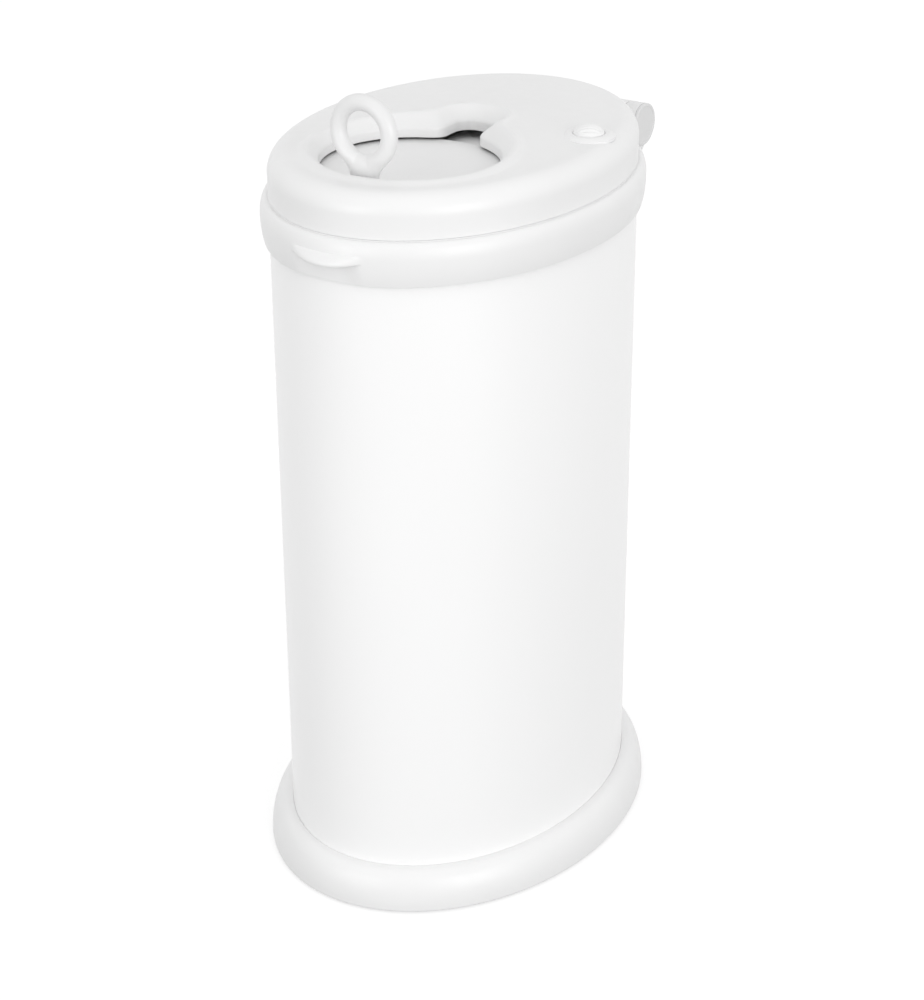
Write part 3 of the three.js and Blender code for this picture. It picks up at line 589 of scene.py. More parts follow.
class BIN_OT_base(bpy.types.Operator):
    """Flared base with its ledge, and the pads under it"""

    bl_idname = "nappy_bin.base"
    bl_label = "Base"

    def execute(self, context):
        pail = context.scene.bin_pail
        foot, top = span("base_ring")
        reach = high("base_ring")[0] - pail.half_width
        ledge = low("body_shell")[2] - FIT
        ledge_in, ledge_thick, skirt_in, foot_in = -10 * MM, 3.8 * MM, -1 * MM, 2 * MM
        # The outside falls from the top edge to the foot as a quarter of a superellipse
        t = np.linspace(0, math.pi / 2, 40)
        power = 2 / pail.base_power
        across = pail.base_crown + (reach - pail.base_crown) * np.cos(t) ** power
        up = foot + (top - foot) * np.sin(t) ** power
        # Its lowest edge is eased, and its top edge turns in to the steel
        keep = up > foot + pail.base_edge
        t = np.linspace(-math.pi / 2, 0, 6)
        edge = [reach - pail.base_edge * (1 - np.cos(t)), foot + pail.base_edge * (1 + np.sin(t))]
        inside = [
            (pail.base_crown * 0.7, top), (pail.base_crown * 0.3, top - CRISP * 0.4),
            (pail.base_seam, top - EDGE), (pail.base_seam, ledge), (ledge_in, ledge),
            (ledge_in, ledge - ledge_thick), (skirt_in, ledge - ledge_thick), (foot_in, foot),
        ]
        outline = np.vstack([np.column_stack(edge), np.column_stack([across, up])[keep], inside])
        build("base_skirt", [around(outline)], "pail", "moulded_white", "base_ring")
        for i in range(1, 5):
            name = f"foot_pad_{i}"
            radius = (high(name) - low(name))[0] / 2
            z0, z1 = span(name)
            outline = [(0, z0), (radius - SOFT, z0), (radius, z0 + SOFT), (radius, z1), (0, z1)]
            pad = turned(outline, (*middle(name)[:2], 0), steps=SMALL_STEPS)
            build(f"pad_{i}", [pad], "pail", "pad_rubber", name)
        return {"FINISHED"}


class BIN_OT_body(bpy.types.Operator):
    """Steel tube, floor pan and the frame that holds the bag"""

    bl_idname = "nappy_bin.body"
    bl_label = "Body"

    def execute(self, context):
        pail = context.scene.bin_pail
        levels = np.linspace(*span("body_shell"), 24)
        inside = np.column_stack([0 * levels - pail.steel, levels[::-1]])
        tube = around(np.vstack([np.column_stack([0 * levels, levels]), inside]))
        build("steel_body", [tube], "pail", "painted_steel", "body_shell")

        z0, z1 = span("floor_pan")
        centre, rim, margin = -pail.half_length, high("floor_pan")[0] - pail.half_width, 6 * MM
        outline = [(centre, z0), (rim, z0), (rim, z1), (rim - margin, z1), (centre, z1)]
        plate = around(outline, FINE_STEPS)
        build("floor_plate", [plate], "pail", "inner_plastic", "floor_pan")

        z0, z1 = span("bag_frame")
        outer = high("bag_frame")[0] - pail.half_width
        inner, wall, plate, roll = -28 * MM, 2 * MM, 2.5 * MM, 2.6 * MM
        ring = around(rounded([
            (outer, z1 - plate, EDGE), (outer, z1, SOFT), (inner - wall, z1, roll),
            (inner - wall, z0, SOFT), (inner, z0, SOFT), (inner, z1 - plate, SOFT),
        ]), BAND_STEPS)
        build("bag_ring", [ring], "pail", "inner_plastic", "bag_frame")
        return {"FINISHED"}


def collar_outside(pail, angle):
    """Outer face of the collar, from its foot to its head, as offsets and heights for each angle.

    Below the belly the face bows out as a power curve, above it it closes as a quarter ellipse. At the
    front the face steps out into the finger lip, whose reach falls off as a parabola to both ends,
    and is scooped in under it.
    """
    bow_power, edge_high, edge_round, full_round = 2.4, 1.2 * MM, 0.6 * MM, 0.25
    lip_step, fade_high = 0.2 * MM, 9 * MM
    x = pail.half_width * np.cos(angle)
    front = (np.sin(angle) < 0) * 1.0
    inside = np.clip(1 - (x / pail.lip_half) ** 2, 0, 1) * front
    belly_z = pail.collar_low + (pail.collar_high - pail.collar_low) * pail.belly_share
    lip_z = pail.collar_low + pail.lip_height + pail.lip_rise * (1 - inside)

    def face(z):
        below = 1 - np.clip((belly_z - z) / (belly_z - pail.collar_low), 0, 1) ** bow_power
        above = np.sqrt(1 - np.clip((z - belly_z) / (pail.collar_high - belly_z), 0, 1) ** 2)
        low_face = pail.collar_foot + (pail.collar_belly - pail.collar_foot) * below
        high_face = pail.collar_head + (pail.collar_belly - pail.collar_head) * above
        return np.where(z < belly_z, low_face, high_face)

    under_share = np.array([0, 0.05, 0.12, 0.3, 0.5, 0.7, 0.85, 0.95, 1.0])
    z_under = pail.collar_low + under_share * (lip_z - CRISP - pail.collar_low)
    under = face(z_under)
    deep = np.minimum(under, pail.lip_scoop)
    under = under + (deep - under) * ease(inside)
    edge = np.array([0, 0.1, 0.3, 0.6, 1.0]) * edge_high
    z_edge = lip_z + lip_step + edge
    bulge = pail.lip_reach * inside
    round_off = edge_round * ease(inside / full_round) * (1 - np.sqrt(1 - (1 - edge / edge_high) ** 2))
    out_edge = face(z_edge) + bulge - round_off
    climb = np.linspace(0, 1, 12)[1:]
    z_over = z_edge[:, -1:] + climb * (belly_z - z_edge[:, -1:])
    over = face(z_over) + bulge * (1 - ease((z_over - z_edge[:, -1:]) / fade_high))
    t = np.linspace(0, math.pi / 2, 14)[1:]
    z_head = belly_z + (pail.collar_high - belly_z) * np.sin(t) + 0 * angle
    offsets = np.hstack([under, out_edge, over, face(z_head)])
    return offsets, np.hstack([z_under, z_edge, z_over, z_head])


def hinge_place():
    """Point on the hinge's axis in the middle of the bin."""
    return np.array([0, *middle("hinge_cap_left")[1:]])


def barrel(start, end):
    """Cylinder about the hinge's axis between two places across, with clearance round the barrel."""
    lid = bpy.context.scene.bin_lid
    return cylinder(lid.hinge_radius + lid.hinge_gap, start, end, hinge_place(), "x")


class BIN_OT_collar(bpy.types.Operator):
    """Collar with the finger lip at the front and the fixed hinge knuckles at the back"""

    bl_idname = "nappy_bin.collar"
    bl_label = "Collar"

    def execute(self, context):
        pail, lid = context.scene.bin_pail, context.scene.bin_lid
        foot, head, groove = low("collar")[2], pail.collar_high, high("body_shell")[2] + FIT
        land = lid.seam - pail.seam_gap
        # Places across: the wall inside, the shelf under the bag frame, the seal's seat and the skirt
        wall, reach, seal = -5.2 * MM, -12 * MM, -11 * MM
        skirt_in, skirt_out = -4.2 * MM, -1.3 * MM
        # Places up and down, and roundings
        ledge = high("bag_frame")[2] - 2.8 * MM
        shelf = ledge - 2.5 * MM
        seat, seat_foot, cone_foot = head - 3 * MM, head - 5.5 * MM, head - 11.3 * MM
        sharp, turn_in, hem = 0.05 * MM, 0.7 * MM, 0.6 * MM
        inside = rounded([
            (-pail.seam_gap, head, sharp), (-pail.seam_gap, land, sharp), (wall, land, turn_in),
            (wall, seat, EDGE), (seal, seat, EDGE), (seal, seat_foot, EDGE),
            (wall, cone_foot, 2 * EDGE), (wall, ledge, EDGE), (reach, ledge, EDGE),
            (reach, shelf, EDGE), (skirt_in, shelf, EDGE), (skirt_in, foot, hem),
            (skirt_out, foot, hem), (skirt_out, groove, 0), (FIT, groove, 0),
            (FIT, pail.collar_low, CRISP),
        ], 3)
        angle = np.linspace(0, TURN, OVAL_STEPS * 2, endpoint=False)[:, None]
        offsets, heights = collar_outside(pail, angle)
        offsets = np.hstack([offsets, inside[:, 0] + 0 * angle])
        heights = np.hstack([heights, inside[:, 1] + 0 * angle])
        edge = lid.knuckle_half + lid.hinge_gap
        band = oval_grid(angle, offsets, heights)
        build("collar_band", [band], "pail", "moulded_white", "collar", cuts=[barrel(-edge, edge)])

        radius, ear = lid.hinge_radius, low("hinge_cap_right")[0] - FIT
        bevel, deep, below = 0.7 * MM, -40 * MM, 400 * MM
        ears = []
        for side in (-1, 1):
            near, far = side * edge, side * ear
            ears.append(turned([
                (0, near), (radius - bevel, near), (radius - bevel * 2 / 7, near + side * bevel * EASED),
                (radius, near + side * bevel), (radius, far), (0, far),
            ], hinge_place(), "x"))
            ears.append(self.bracket(pail, radius, min(near, far), max(near, far)))
        inner = around([(deep, below), (FIT, below), (FIT, groove), (deep, groove)], FINE_STEPS)
        build("hinge_ears", ears, "pail", "moulded_white", "collar", cuts=[inner])
        return {"FINISHED"}

    def bracket(self, pail, radius, near, far):
        """Web under a fixed knuckle: its side outline, from collar to barrel, carried across."""
        nearest = min(abs(near), abs(far))
        back = pail.half_length * math.sqrt(1 - (nearest / pail.half_width) ** 2)
        _, y, z = hinge_place()
        # The web meets the barrel this far below its back
        turn = math.pi / 5
        depth, root, foot_reach, edge, tuck = 27 * MM, 5 * MM, 7.4 * MM, 1 * MM, 0.2 * MM
        foot = pail.collar_high - depth
        side = rounded([
            (back - root, foot, edge), (back + foot_reach, foot, 2 * edge),
            (y + radius * math.cos(turn), z - radius * math.sin(turn), EDGE), (y, z, edge),
            (back - root, pail.collar_high - tuck, edge),
        ], 6)
        return slab(side, near, far, 0.6 * edge)[..., [2, 0, 1]]


class BIN_OT_hinge_caps(bpy.types.Operator):
    """Domed covers on the ends of the hinge barrel"""

    bl_idname = "nappy_bin.hinge_caps"
    bl_label = "Hinge caps"

    def execute(self, context):
        radius = context.scene.bin_lid.hinge_radius
        lip, dish_rim, dish_foot, dish_deep = 1.0 * MM, 2.2 * MM, 2.6 * MM, 0.35 * MM
        t = np.linspace(0, math.pi / 2, 8)
        for side, word in ((-1, "left"), (1, "right")):
            name = f"hinge_cap_{word}"
            inner, outer = sorted([low(name)[0], high(name)[0]], key=abs)
            sunk = outer - side * dish_deep
            outline = np.vstack([
                [(0, inner), (radius, inner)],
                np.column_stack([radius - lip * (1 - np.cos(t)), outer - side * lip * (1 - np.sin(t))]),
                [(radius - dish_rim, outer), (radius - dish_foot, sunk), (0, sunk)],
            ])
            grid = turned(outline, hinge_place(), "x")
            cap = build(f"cap_{word}", [grid], "pail", "moulded_white", name)
            # The covers' finish is the lid's white ABS with painted shade, a shade greyer
            cap.data.materials[0] = moulded_abs("abs_moulded_pale_grey", "cap")
        return {"FINISHED"}


# Lid


def opening_distance(x, y):
    """Distance outside the opening's edge: a circle and the notch behind it, softly joined."""
    lid = bpy.context.scene.bin_lid
    circle = np.hypot(x, y - lid.opening_y) - lid.opening_radius
    half = lid.notch_reach / 2
    across = np.abs(x) - lid.notch_half + lid.notch_corner
    along = np.abs(y - lid.opening_y - half) - half + lid.notch_corner
    outside = np.hypot(np.maximum(across, 0), np.maximum(along, 0))
    notch = outside + np.minimum(np.maximum(across, along), 0) - lid.notch_corner
    return soft_min(circle, notch, lid.notch_blend)


def evenly(x, y, steps, *values):
    """Values along a path, taken at even steps of its length."""
    run = np.concatenate([[0], np.cumsum(np.hypot(np.diff(x), np.diff(y)))])
    even = np.linspace(0, run[-1], steps, endpoint=False)
    return [np.interp(even, run, value) for value in values]


def opening_edge(steps):
    """Points of the opening's edge at even steps, found by halving along rays from its centre."""
    lid = bpy.context.scene.bin_lid
    halvings = 44
    ray = np.linspace(0, TURN, FINE_PLACES) - math.pi / 2
    near, far = np.zeros_like(ray), np.full_like(ray, 2 * lid.notch_reach)
    for _ in range(halvings):
        half = (near + far) / 2
        out = opening_distance(half * np.cos(ray), lid.opening_y + half * np.sin(ray)) > 0
        near, far = np.where(out, near, half), np.where(out, half, far)
    x, y = near * np.cos(ray), lid.opening_y + near * np.sin(ray)
    return evenly(x, y, steps, x, y)


def opening_normal(x, y):
    """Direction straight away from the opening, by small differences."""
    step = 0.05 * MM
    nx = opening_distance(x + step, y) - opening_distance(x - step, y)
    ny = opening_distance(x, y + step) - opening_distance(x, y - step)
    size = np.hypot(nx, ny)
    return nx / size, ny / size


def crown_height(x, y):
    """Height of the lid's top over the core oval: a cap that lies level where the shoulder starts."""
    pail, lid = bpy.context.scene.bin_pail, bpy.context.scene.bin_lid
    cap_power = 1.2
    out = (x / (pail.half_width - pail.core)) ** 2 + (y / (pail.half_length - pail.core)) ** 2
    return lid.top - lid.crown + lid.crown * np.clip(1 - out, 0, 1) ** cap_power


def top_height(x, y):
    """Height of the lid's top: the crown and its swell, cut by the funnel, with a soft crest.

    Next to the opening it falls to the wall as a quarter circle.
    """
    lid = bpy.context.scene.bin_lid
    swell_soft, foot_soft, crest_soft = 1.2 * MM, 0.25 * MM, 2.4 * MM
    away = opening_distance(x, y)
    funnel = lid.funnel + lid.funnel_slope * away
    swell = soft_min(lid.swell, lid.swell_slope * (lid.swell_foot - away), swell_soft)
    swell = -soft_min(-swell, 0, foot_soft)
    height = soft_min(crown_height(x, y) + swell, funnel, crest_soft)
    drop = np.clip(1 - away / lid.rim_round, 0, 1)
    return height - lid.rim_round * (1 - np.sqrt(1 - drop**2))


def even_oval(steps, offset):
    """Angles of the oval at even steps round it, from the front."""
    angle = np.linspace(0, TURN, FINE_PLACES) - math.pi / 2
    return evenly(*oval(angle, offset), steps, angle)[0]


def lid_grid():
    """The lid's shell as one closed grid.

    One way runs round the oval. The other runs up the wall and over the shoulder as a quarter circle,
    in across the crown to the opening along straight lines, down the wall round the opening and round
    its foot, and back along the inside one wall's thickness below.
    """
    pail, lid = bpy.context.scene.bin_pail, bpy.context.scene.bin_lid
    wall_ease, rim_ease, drop_reach = 0.35 * MM, 0.7 * MM, 12 * MM
    crown_power, ceiling_power = 1.9, 1.6
    rim_falls = np.array([0.15, 0.4, 0.7, 0.93])
    level = lid.top - lid.crown
    shoulder_foot, seam = level - lid.shoulder, lid.seam + wall_ease
    edge_x, edge_y = (v[:, None] for v in opening_edge(RIM_STEPS))
    normal_x, normal_y = opening_normal(edge_x, edge_y)
    angle = even_oval(RIM_STEPS, -pail.core)[:, None]
    core_x, core_y = oval(angle, -pail.core)

    def shoulder(inset, radius, steps):
        t = np.linspace(0, math.pi / 2, steps)
        height = level - inset - radius + radius * np.sin(t)
        return oval_grid(angle, -inset - radius + radius * np.cos(t), height)

    def wall(offset, start, end, steps):
        heights = np.linspace(start, end, steps)
        return oval_grid(angle, np.full_like(heights, offset), heights)

    def crossing(from_x, from_y, spread, drop):
        x, y = from_x + (core_x - from_x) * spread, from_y + (core_y - from_y) * spread
        return np.stack([x, y, top_height(x, y) - drop], axis=-1)

    outside = wall(0, seam, shoulder_foot, 8)[:, :-1]
    flat = oval_grid(angle, np.linspace(-lid.shoulder, -pail.core, 4)[1:-1], level)
    crown = crossing(edge_x, edge_y, np.linspace(1, 0, 60) ** crown_power, 0)

    rim_top = crown[:, -1:, 2]
    rim_low = lid.rim_low - lid.notch_drop * ease(edge_y / drop_reach)
    t, half = np.linspace(0, math.pi, 9), lid.rim_wall / 2
    heights = rim_top + (rim_low + rim_ease - rim_top) * rim_falls
    heights = np.hstack([heights, rim_low + rim_ease - rim_ease * np.sin(t)])
    out = np.hstack([0 * rim_falls, half - half * np.cos(t)])
    rim = np.stack([edge_x + normal_x * out, edge_y + normal_y * out, heights], axis=-1)

    back_x, back_y = edge_x + normal_x * lid.rim_wall, edge_y + normal_y * lid.rim_wall
    ceiling = crossing(back_x, back_y, np.linspace(0, 1, 20) ** ceiling_power, lid.wall)
    inner_shoulder = shoulder(lid.wall, lid.shoulder - lid.wall, 10)[:, ::-1]
    inside = wall(-lid.wall, shoulder_foot, seam, 4)[:, 1:]
    t, half = np.linspace(0, math.pi, 9)[1:-1], lid.wall / 2
    foot = oval_grid(angle, -half - half * np.cos(t), lid.seam + wall_ease * (1 - np.sin(t)))
    return np.concatenate([
        outside, shoulder(0, lid.shoulder, 18), flat, crown, rim, ceiling, inner_shoulder, inside, foot
    ], axis=1)


class BIN_OT_lid(bpy.types.Operator):
    """Domed lid with its opening, and the knuckle of the hinge"""

    bl_idname = "nappy_bin.lid"
    bl_label = "Lid"

    def execute(self, context):
        lid = context.scene.bin_lid
        radius, half = lid.hinge_radius, lid.knuckle_half
        cuts = [barrel(half, PAST), barrel(-PAST, -half)]
        build("lid_dome", [lid_grid()], "lid", "moulded_white", "lid_shell", cuts=cuts)

        t = np.linspace(0, math.pi / 2, 6)
        end = np.column_stack([radius - SOFT + SOFT * np.sin(t), half - SOFT + SOFT * np.cos(t)])
        outline = np.vstack([[(0, half)], end, (end * [1, -1])[::-1], [(0, -half)]])
        knuckle = turned(outline, hinge_place(), "x")
        build("hinge_knuckle", [knuckle], "lid", "moulded_white", "lid_shell")
        return {"FINISHED"}


class BIN_OT_tray(bpy.types.Operator):
    """Tray inside the lid with its two seals, all open where the hinge barrel is"""

    bl_idname = "nappy_bin.tray"
    bl_label = "Tray and seals"

    def execute(self, context):
        pail, lid = context.scene.bin_pail, context.scene.bin_lid
        plate, bevel, edge, wall = 4 * MM, 1 * MM, 0.4 * MM, 2.5 * MM
        seat, past, round_lip = 3.3 * MM, 9 * MM, 1.2 * MM
        opening, knuckles = (0, lid.opening_y, 0), barrel(-PAST, PAST)
        z0, z1 = span("lid_tray")
        centre, rim = -pail.half_length, high("lid_tray")[0] - pail.half_width
        tray = around([
            (centre, z0), (rim - bevel, z0), (rim, z0 + bevel), (rim, z1 - edge), (rim - edge, z1),
            (rim - wall + edge, z1), (rim - wall, z1 - edge), (rim - wall, z1 - plate),
            (centre, z1 - plate),
        ], BAND_STEPS)
        drop = cylinder(-low("door_seal")[0] - seat, z0 - past, z1 + past, opening)
        build("tray_plate", [tray], "lid", "inner_plastic", "lid_tray", cuts=[knuckles, drop])
        step = block(low("notch_floor"), high("notch_floor"))
        build("notch_cap", [step], "lid", "moulded_white", "notch_floor")

        seal = around(self.seal("rim_seal", pail.half_width, round_lip, CRISP), BAND_STEPS)
        build("collar_seal", [seal], "lid", "soft_seal", "rim_seal", cuts=[knuckles])
        seal = turned(self.seal("door_seal", 0, CRISP, round_lip), opening)
        build("chute_seal", [seal], "lid", "soft_seal", "door_seal")
        return {"FINISHED"}

    def seal(self, name, shift, foot_round, head_round):
        """Outline of a soft seal: a rounded rectangle inwards from its outside, less a shift."""
        z0, z1 = span(name)
        outer = high(name)[0] - shift
        inner = outer - SEAL
        return rounded([
            (outer, z0, foot_round), (outer, z1, head_round),
            (inner, z1, head_round), (inner, z0, foot_round),
        ])


# Door


class BIN_OT_door(bpy.types.Operator):
    """Dished door with its wings, its tab and the lug that the lock blocks"""

    bl_idname = "nappy_bin.door"
    bl_label = "Door"

    def execute(self, context):
        door, lid = context.scene.bin_door, context.scene.bin_lid
        under_rail, wing_root, wing_play, sunk = 2.2 * MM, 62 * MM, 1.3 * MM, 0.05 * MM
        tab_half, tab_front, tab_back, lug_root = 6 * MM, 21 * MM, 3 * MM, 1 * MM
        bottom, crest = span("sliding_door")
        top = high("guide_rail_left")[2] - under_rail
        radius, edge = door.door_radius, 1.0 * MM
        t = np.linspace(0, 1, 24)
        bowl = top - door.dish_depth * 0.5 * (1 + np.cos(math.pi * t))
        inset = edge * EASED
        outline = np.vstack([
            np.column_stack([door.dish_radius * t, bowl]),
            [(radius - edge, top), (radius - inset, top - inset), (radius, top - edge)],
            [(radius, bottom + edge), (radius - inset, bottom + inset), (radius - edge, bottom)],
            [(0, bottom)],
        ])
        pieces = [turned(outline, (0, lid.opening_y, 0), steps=FINE_STEPS)]
        # The wings and the tab lie a hair inside the disc's faces
        z0, z1 = bottom + sunk, top - sunk
        front = low("door_glide_left")[1] - wing_play
        back = high("door_glide_left")[1] + wing_play
        for side in (-1, 1):
            x0, x1 = sorted([side * wing_root, side * high("sliding_door")[0]])
            pieces.append(block((x0, front, z0), (x1, back, z1)))
        # The lug stands just outside the circle of the lever's tip, beside the lever's locked place
        nose, reach, half = middle("lock_spindle"), door.lever_reach, door.lug_width / 2
        swing = reach * math.sin(door.lever_turn)
        x = nose[0] - swing - half
        y = nose[1] - math.sqrt((reach + door.lug_play) ** 2 - swing**2)
        pieces.append(block((x - tab_half, y - tab_front, z0), (x + tab_half, y + tab_back, z1)))
        pieces.append(block((x - half, y - door.lug_depth, top - lug_root), (x + half, y, crest), SOFT))
        build("door_plate", pieces, "door", "moulded_white", "sliding_door")
        return {"FINISHED"}


class BIN_OT_ring(bpy.types.Operator):
    """Upright ring that grows out of its stem in one moulding"""

    bl_idname = "nappy_bin.ring"
    bl_label = "Ring"

    def execute(self, context):
        door = context.scene.bin_door
        foot_soft, level, upright = 1.5 * MM, 0.2, 0.02
        foot_z = low("ring_handle")[2] - door.stem_sink
        tube = door.ring_tube
        centre_z = high("ring_handle")[2] - door.ring_radius - tube
        angle = np.linspace(-math.pi, math.pi, PULL_STEPS, endpoint=False)[:, None]
        across, down = np.sin(angle), np.cos(angle)
        # Seen from the ring's centre, its outer edge is a circle, and below that the stem's outline
        foot = (centre_z - foot_z) / np.maximum(down, level)
        side = door.stem_foot / np.maximum(np.abs(across), upright)
        rim = door.ring_radius + tube + 0 * down
        sides = -soft_min(-np.where(down > level, side, 0), -rim, door.stem_blend)
        outer = np.where(down > level, soft_min(foot, sides, foot_soft), rim)
        inner = door.ring_radius - tube
        half = (outer - inner) / 2
        turn = np.linspace(0, TURN, TUBE_STEPS, endpoint=False)[None]
        c, s = np.cos(turn), np.sin(turn)
        out = inner + half + half * c
        # The ring's depth is a circle's across its tube, the stem's an ellipse's across its width, and
        # one fades into the other over the height of the tube
        right = slice(len(angle) // 2, 3 * len(angle) // 4)
        width = np.interp(out * down, (sides * down)[right, 0][::-1], (sides * across)[right, 0][::-1])
        stem = door.stem_depth * np.sqrt(np.clip(1 - (out * across / width) ** 2, 0, 1))
        blend = ease((out * down - inner) / (2 * tube))
        deep = np.sign(np.round(s, 9)) * (tube * np.abs(s) * (1 - blend) + stem * blend)
        ring = np.stack([out * across, deep, -out * down], axis=-1)
        ring += [0, middle("ring_handle")[1], centre_z]
        piece = build("pull_ring", [ring], "door", "moulded_white", "ring_handle")
        # The ring's finish is the lid's white ABS with painted shade, a touch greyer
        piece.data.materials[0] = moulded_abs("abs_moulded_soft_white", "ring")
        return {"FINISHED"}


# Child lock


class BIN_OT_lock(bpy.types.Operator):
    """Domed ring on the lid and the ribbed knob that turns in it"""

    bl_idname = "nappy_bin.lock"
    bl_label = "Child lock"

    def execute(self, context):
        door = context.scene.bin_door
        # The ring: how far its top reaches in over the mouth, its outer edge, and the mouth's bevel
        over, outer_edge, bevel, bevel_foot = 0.6 * MM, 0.3 * MM, 0.1 * MM, 0.8 * MM
        swell_turn, dome_power, rib_power = 0.62 * math.pi, 1.25, 1.5
        # The knob: its edge below the ring's lip, and where its ribs fade out
        edge_drop, rib_margin, rib_fade, rib_foot = 0.7 * MM, 0.6 * MM, 2.5 * MM, 0.8 * MM
        centre = (*middle("lock_bezel")[:2], 0)
        z0, z1 = span("lock_bezel")
        outer = (high("lock_bezel") - low("lock_bezel"))[0] / 2
        knob = (high("lock_knob") - low("lock_knob"))[0] / 2
        inner = knob + door.knob_gap
        # The ring swells from a thin outer edge and sinks a little to its inner lip, as a sine
        t = np.linspace(0, 1, 20)
        rise = z1 - door.bezel_sink - z0 - outer_edge
        swell_z = z0 + outer_edge + rise * np.sin(t * swell_turn)
        lip, root = swell_z[-1], z0 - door.bezel_root
        outline = np.vstack([
            [(outer, root)],
            np.column_stack([outer + (inner + over - outer) * t, swell_z]),
            [(inner + bevel, lip - CRISP), (inner, lip - bevel_foot), (inner, root)],
        ])
        build("lock_ring", [turned(outline, centre)], "lid", "moulded_white", "lock_bezel")

        # The knob is a dome, its ribs a raised cosine across it that fades towards its edge
        z0, z1 = span("lock_knob")
        edge_z = lip - edge_drop
        t = np.linspace(0, math.pi / 2, 48)
        dome = np.column_stack([knob * np.sin(t), edge_z + (z1 - edge_z) * np.cos(t) ** dome_power])
        grid = turned(np.vstack([dome, [(knob, z0), (0, z0)]]), centre, steps=FINE_STEPS)
        x, y = grid[..., 0] - centre[0], grid[..., 1] - centre[1]
        along = y * math.cos(door.rib_turn) - x * math.sin(door.rib_turn)
        ribs = 0.5 - 0.5 * np.cos(TURN * along / door.knob_rib)
        inside = ease((knob - rib_margin - np.hypot(x, y)) / rib_fade)
        upper = ease((grid[..., 2] - edge_z) / rib_foot)
        grid[..., 2] -= door.knob_groove * ribs**rib_power * inside * upper
        build("lock_dial", [grid], "lock", "moulded_white", "lock_knob")
        return {"FINISHED"}


class BIN_OT_fittings(bpy.types.Operator):
    """Finishes on the small packed nodes that keep their own shape"""

    bl_idname = "nappy_bin.fittings"
    bl_label = "Fittings"

    def execute(self, context):
        slots = {row["node"]: row["material_slot"] for row in frame["record"]["subparts"]}
        for name, piece in frame["nodes"].items():
            if not piece.hide_render:
                piece.data.materials.clear()
                piece.data.materials.append(FINISHES[slots[name]]())
        return {"FINISHED"}


# Stage


def lamp(name, power, place):
    """Rectangular area lamp at a place, turned to the lamps' aim."""
    data = bpy.data.lights.new(name, "AREA")
    data.energy = power
    data.shape = "RECTANGLE"
    data.size, data.size_y = LAMP_SIZE
    light = placed(name, data)
    light.location = place
    light.rotation_mode = "QUATERNION"
    light.rotation_quaternion = (Vector(LAMP_AIM) - Vector(place)).to_track_quat("-Z", "Y")


def seen_apart(tree, output, light, picture):
    """Ends a node tree with one shader for its light and another for what is seen of it.

    Seen are rays from the camera, in gloss and through glass.
    """
    rays = node(tree, "ShaderNodeLightPath").outputs
    either = {"operation": "MAXIMUM"}
    seen = {0: rays["Is Camera Ray"], 1: rays["Is Glossy Ray"]}
    seen = {0: node(tree, "ShaderNodeMath", either, seen).outputs[0], 1: rays["Is Transmission Ray"]}
    seen = node(tree, "ShaderNodeMath", either, seen).outputs[0]
    shaders = {"Fac": seen, 1: light.outputs[0], 2: picture.outputs[0]}
    mix = node(tree, "ShaderNodeMixShader", links=shaders)
    node(tree, output, links={"Surface": mix.outputs[0]})


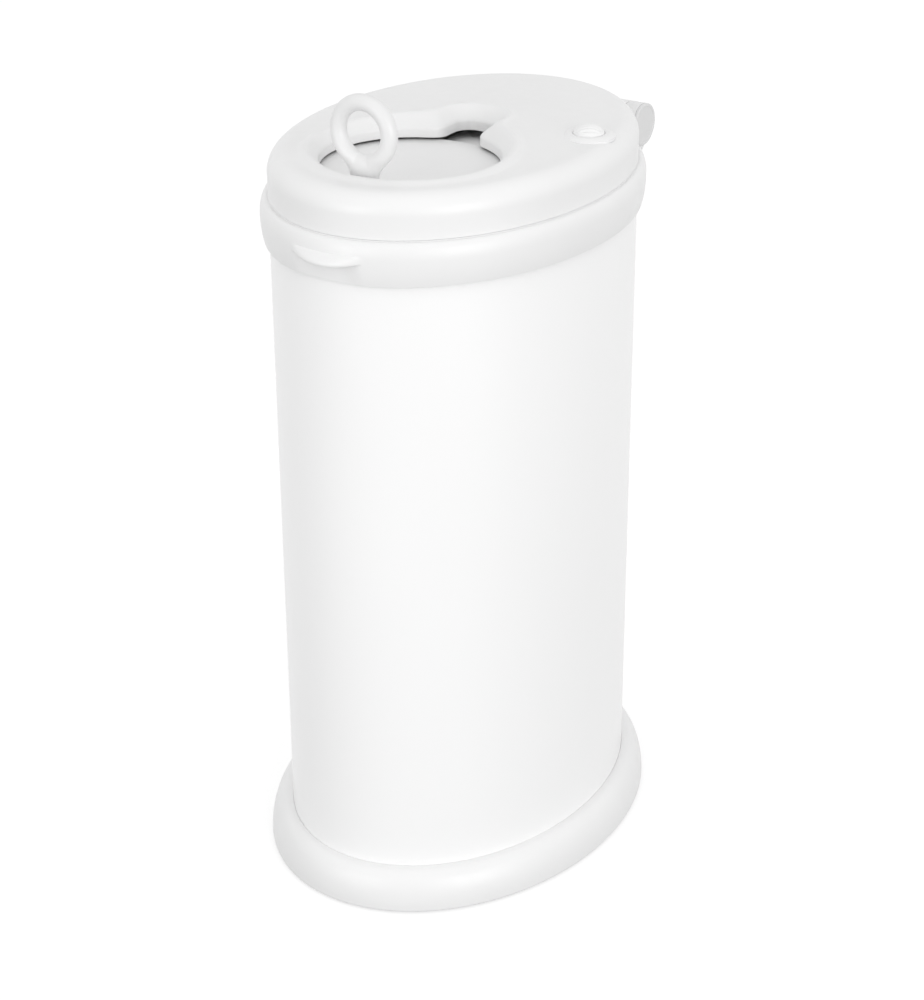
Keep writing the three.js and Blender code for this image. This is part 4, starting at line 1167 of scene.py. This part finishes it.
class BIN_OT_stage(bpy.types.Operator):
    """Floor, light and camera"""

    bl_idname = "nappy_bin.stage"
    bl_label = "Stage"

    def execute(self, context):
        studio = context.scene.bin_studio
        context.scene.view_settings.view_transform = "Standard"
        self.floor(studio)
        self.sky(studio)
        lamp("key", studio.key, KEY_PLACE)
        lamp("fill", studio.fill, FILL_PLACE)
        self.camera(context, studio)
        return {"FINISHED"}

    def floor(self, studio):
        """Pale floor that shows the backdrop's colour and keeps the bin's shadow."""
        mesh = bpy.data.meshes.new("floor")
        corners = [(x, y, 0) for y in (-FLOOR_HALF, FLOOR_HALF) for x in (-FLOOR_HALF, FLOOR_HALF)]
        mesh.from_pydata(corners, [], [(0, 1, 3, 2)])
        piece = placed("floor", mesh)
        material = bpy.data.materials.new("paper_floor_white")
        material.use_nodes = True
        tree = material.node_tree
        tree.nodes.clear()
        paper = node(tree, "ShaderNodeBsdfDiffuse", Color=FLOOR_GREY)
        backdrop = linear(studio.backdrop)
        glow = node(tree, "ShaderNodeEmission", Color=backdrop, Strength=studio.glow)
        both = node(tree, "ShaderNodeAddShader", links={0: paper.outputs[0], 1: glow.outputs[0]})
        seen_apart(tree, "ShaderNodeOutputMaterial", paper, both)
        mesh.materials.append(material)

    def sky(self, studio):
        """Even light from all round, and the backdrop's colour where it is seen."""
        world = bpy.data.worlds.new("studio")
        bpy.context.scene.world = world
        world.use_nodes = True
        tree = world.node_tree
        tree.nodes.clear()
        light = node(tree, "ShaderNodeBackground", Color=linear("FFFFFF"), Strength=studio.sky)
        back = node(tree, "ShaderNodeBackground", Color=linear(studio.backdrop))
        seen_apart(tree, "ShaderNodeOutputWorld", light, back)

    def camera(self, context, studio):
        """Camera on the circle that the azimuth and elevation give, looking at the aim."""
        a, e = studio.azimuth, studio.elevation
        back = Vector((math.sin(a) * math.cos(e), -math.cos(a) * math.cos(e), math.sin(e)))
        right = Vector((math.cos(a), math.sin(a), 0))
        aim = Vector((0, 0, studio.aim_height)) + right * studio.aim_side
        data = bpy.data.cameras.new("camera")
        data.lens, data.sensor_width = studio.lens, SENSOR
        data.clip_start, data.clip_end = CLIP_START, CLIP_END
        camera = placed("camera", data)
        turn = (-back).to_track_quat("-Z", "Y").to_matrix() @ Matrix.Rotation(studio.roll, 3, "Z")
        camera.matrix_world = Matrix.Translation(aim + back * studio.distance) @ turn.to_4x4()
        context.scene.camera = camera


OPERATORS = (
    BIN_OT_base,
    BIN_OT_body,
    BIN_OT_collar,
    BIN_OT_hinge_caps,
    BIN_OT_lid,
    BIN_OT_tray,
    BIN_OT_door,
    BIN_OT_ring,
    BIN_OT_lock,
    BIN_OT_fittings,
    BIN_OT_stage,
)


class BIN_PT_panel(bpy.types.Panel):
    """Lists the bin's pieces and their sizes"""

    bl_idname = "BIN_PT_panel"
    bl_label = "Nappy bin"
    bl_space_type = "VIEW_3D"
    bl_region_type = "UI"
    bl_category = "Bin"

    def draw(self, context):
        for operator in OPERATORS:
            self.layout.operator(operator.bl_idname)
        for name, group in SCENE_GROUPS.items():
            box = self.layout.box()
            box.label(text=group.__doc__)
            for prop in group.__annotations__:
                box.prop(getattr(context.scene, name), prop)


def register():
    for group in SCENE_GROUPS.values():
        bpy.utils.register_class(group)
    for name, group in SCENE_GROUPS.items():
        setattr(bpy.types.Scene, name, PointerProperty(type=group))
    for operator in OPERATORS:
        bpy.utils.register_class(operator)
    bpy.utils.register_class(BIN_PT_panel)


def unregister():
    bpy.utils.unregister_class(BIN_PT_panel)
    for operator in reversed(OPERATORS):
        bpy.utils.unregister_class(operator)
    for name in SCENE_GROUPS:
        delattr(bpy.types.Scene, name)
    for group in reversed(SCENE_GROUPS.values()):
        bpy.utils.unregister_class(group)


def main():
    register()
    for operator in OPERATORS:
        group, name = operator.bl_idname.split(".")
        getattr(getattr(bpy.ops, group), name)()


if __name__ == "__main__":
    main()
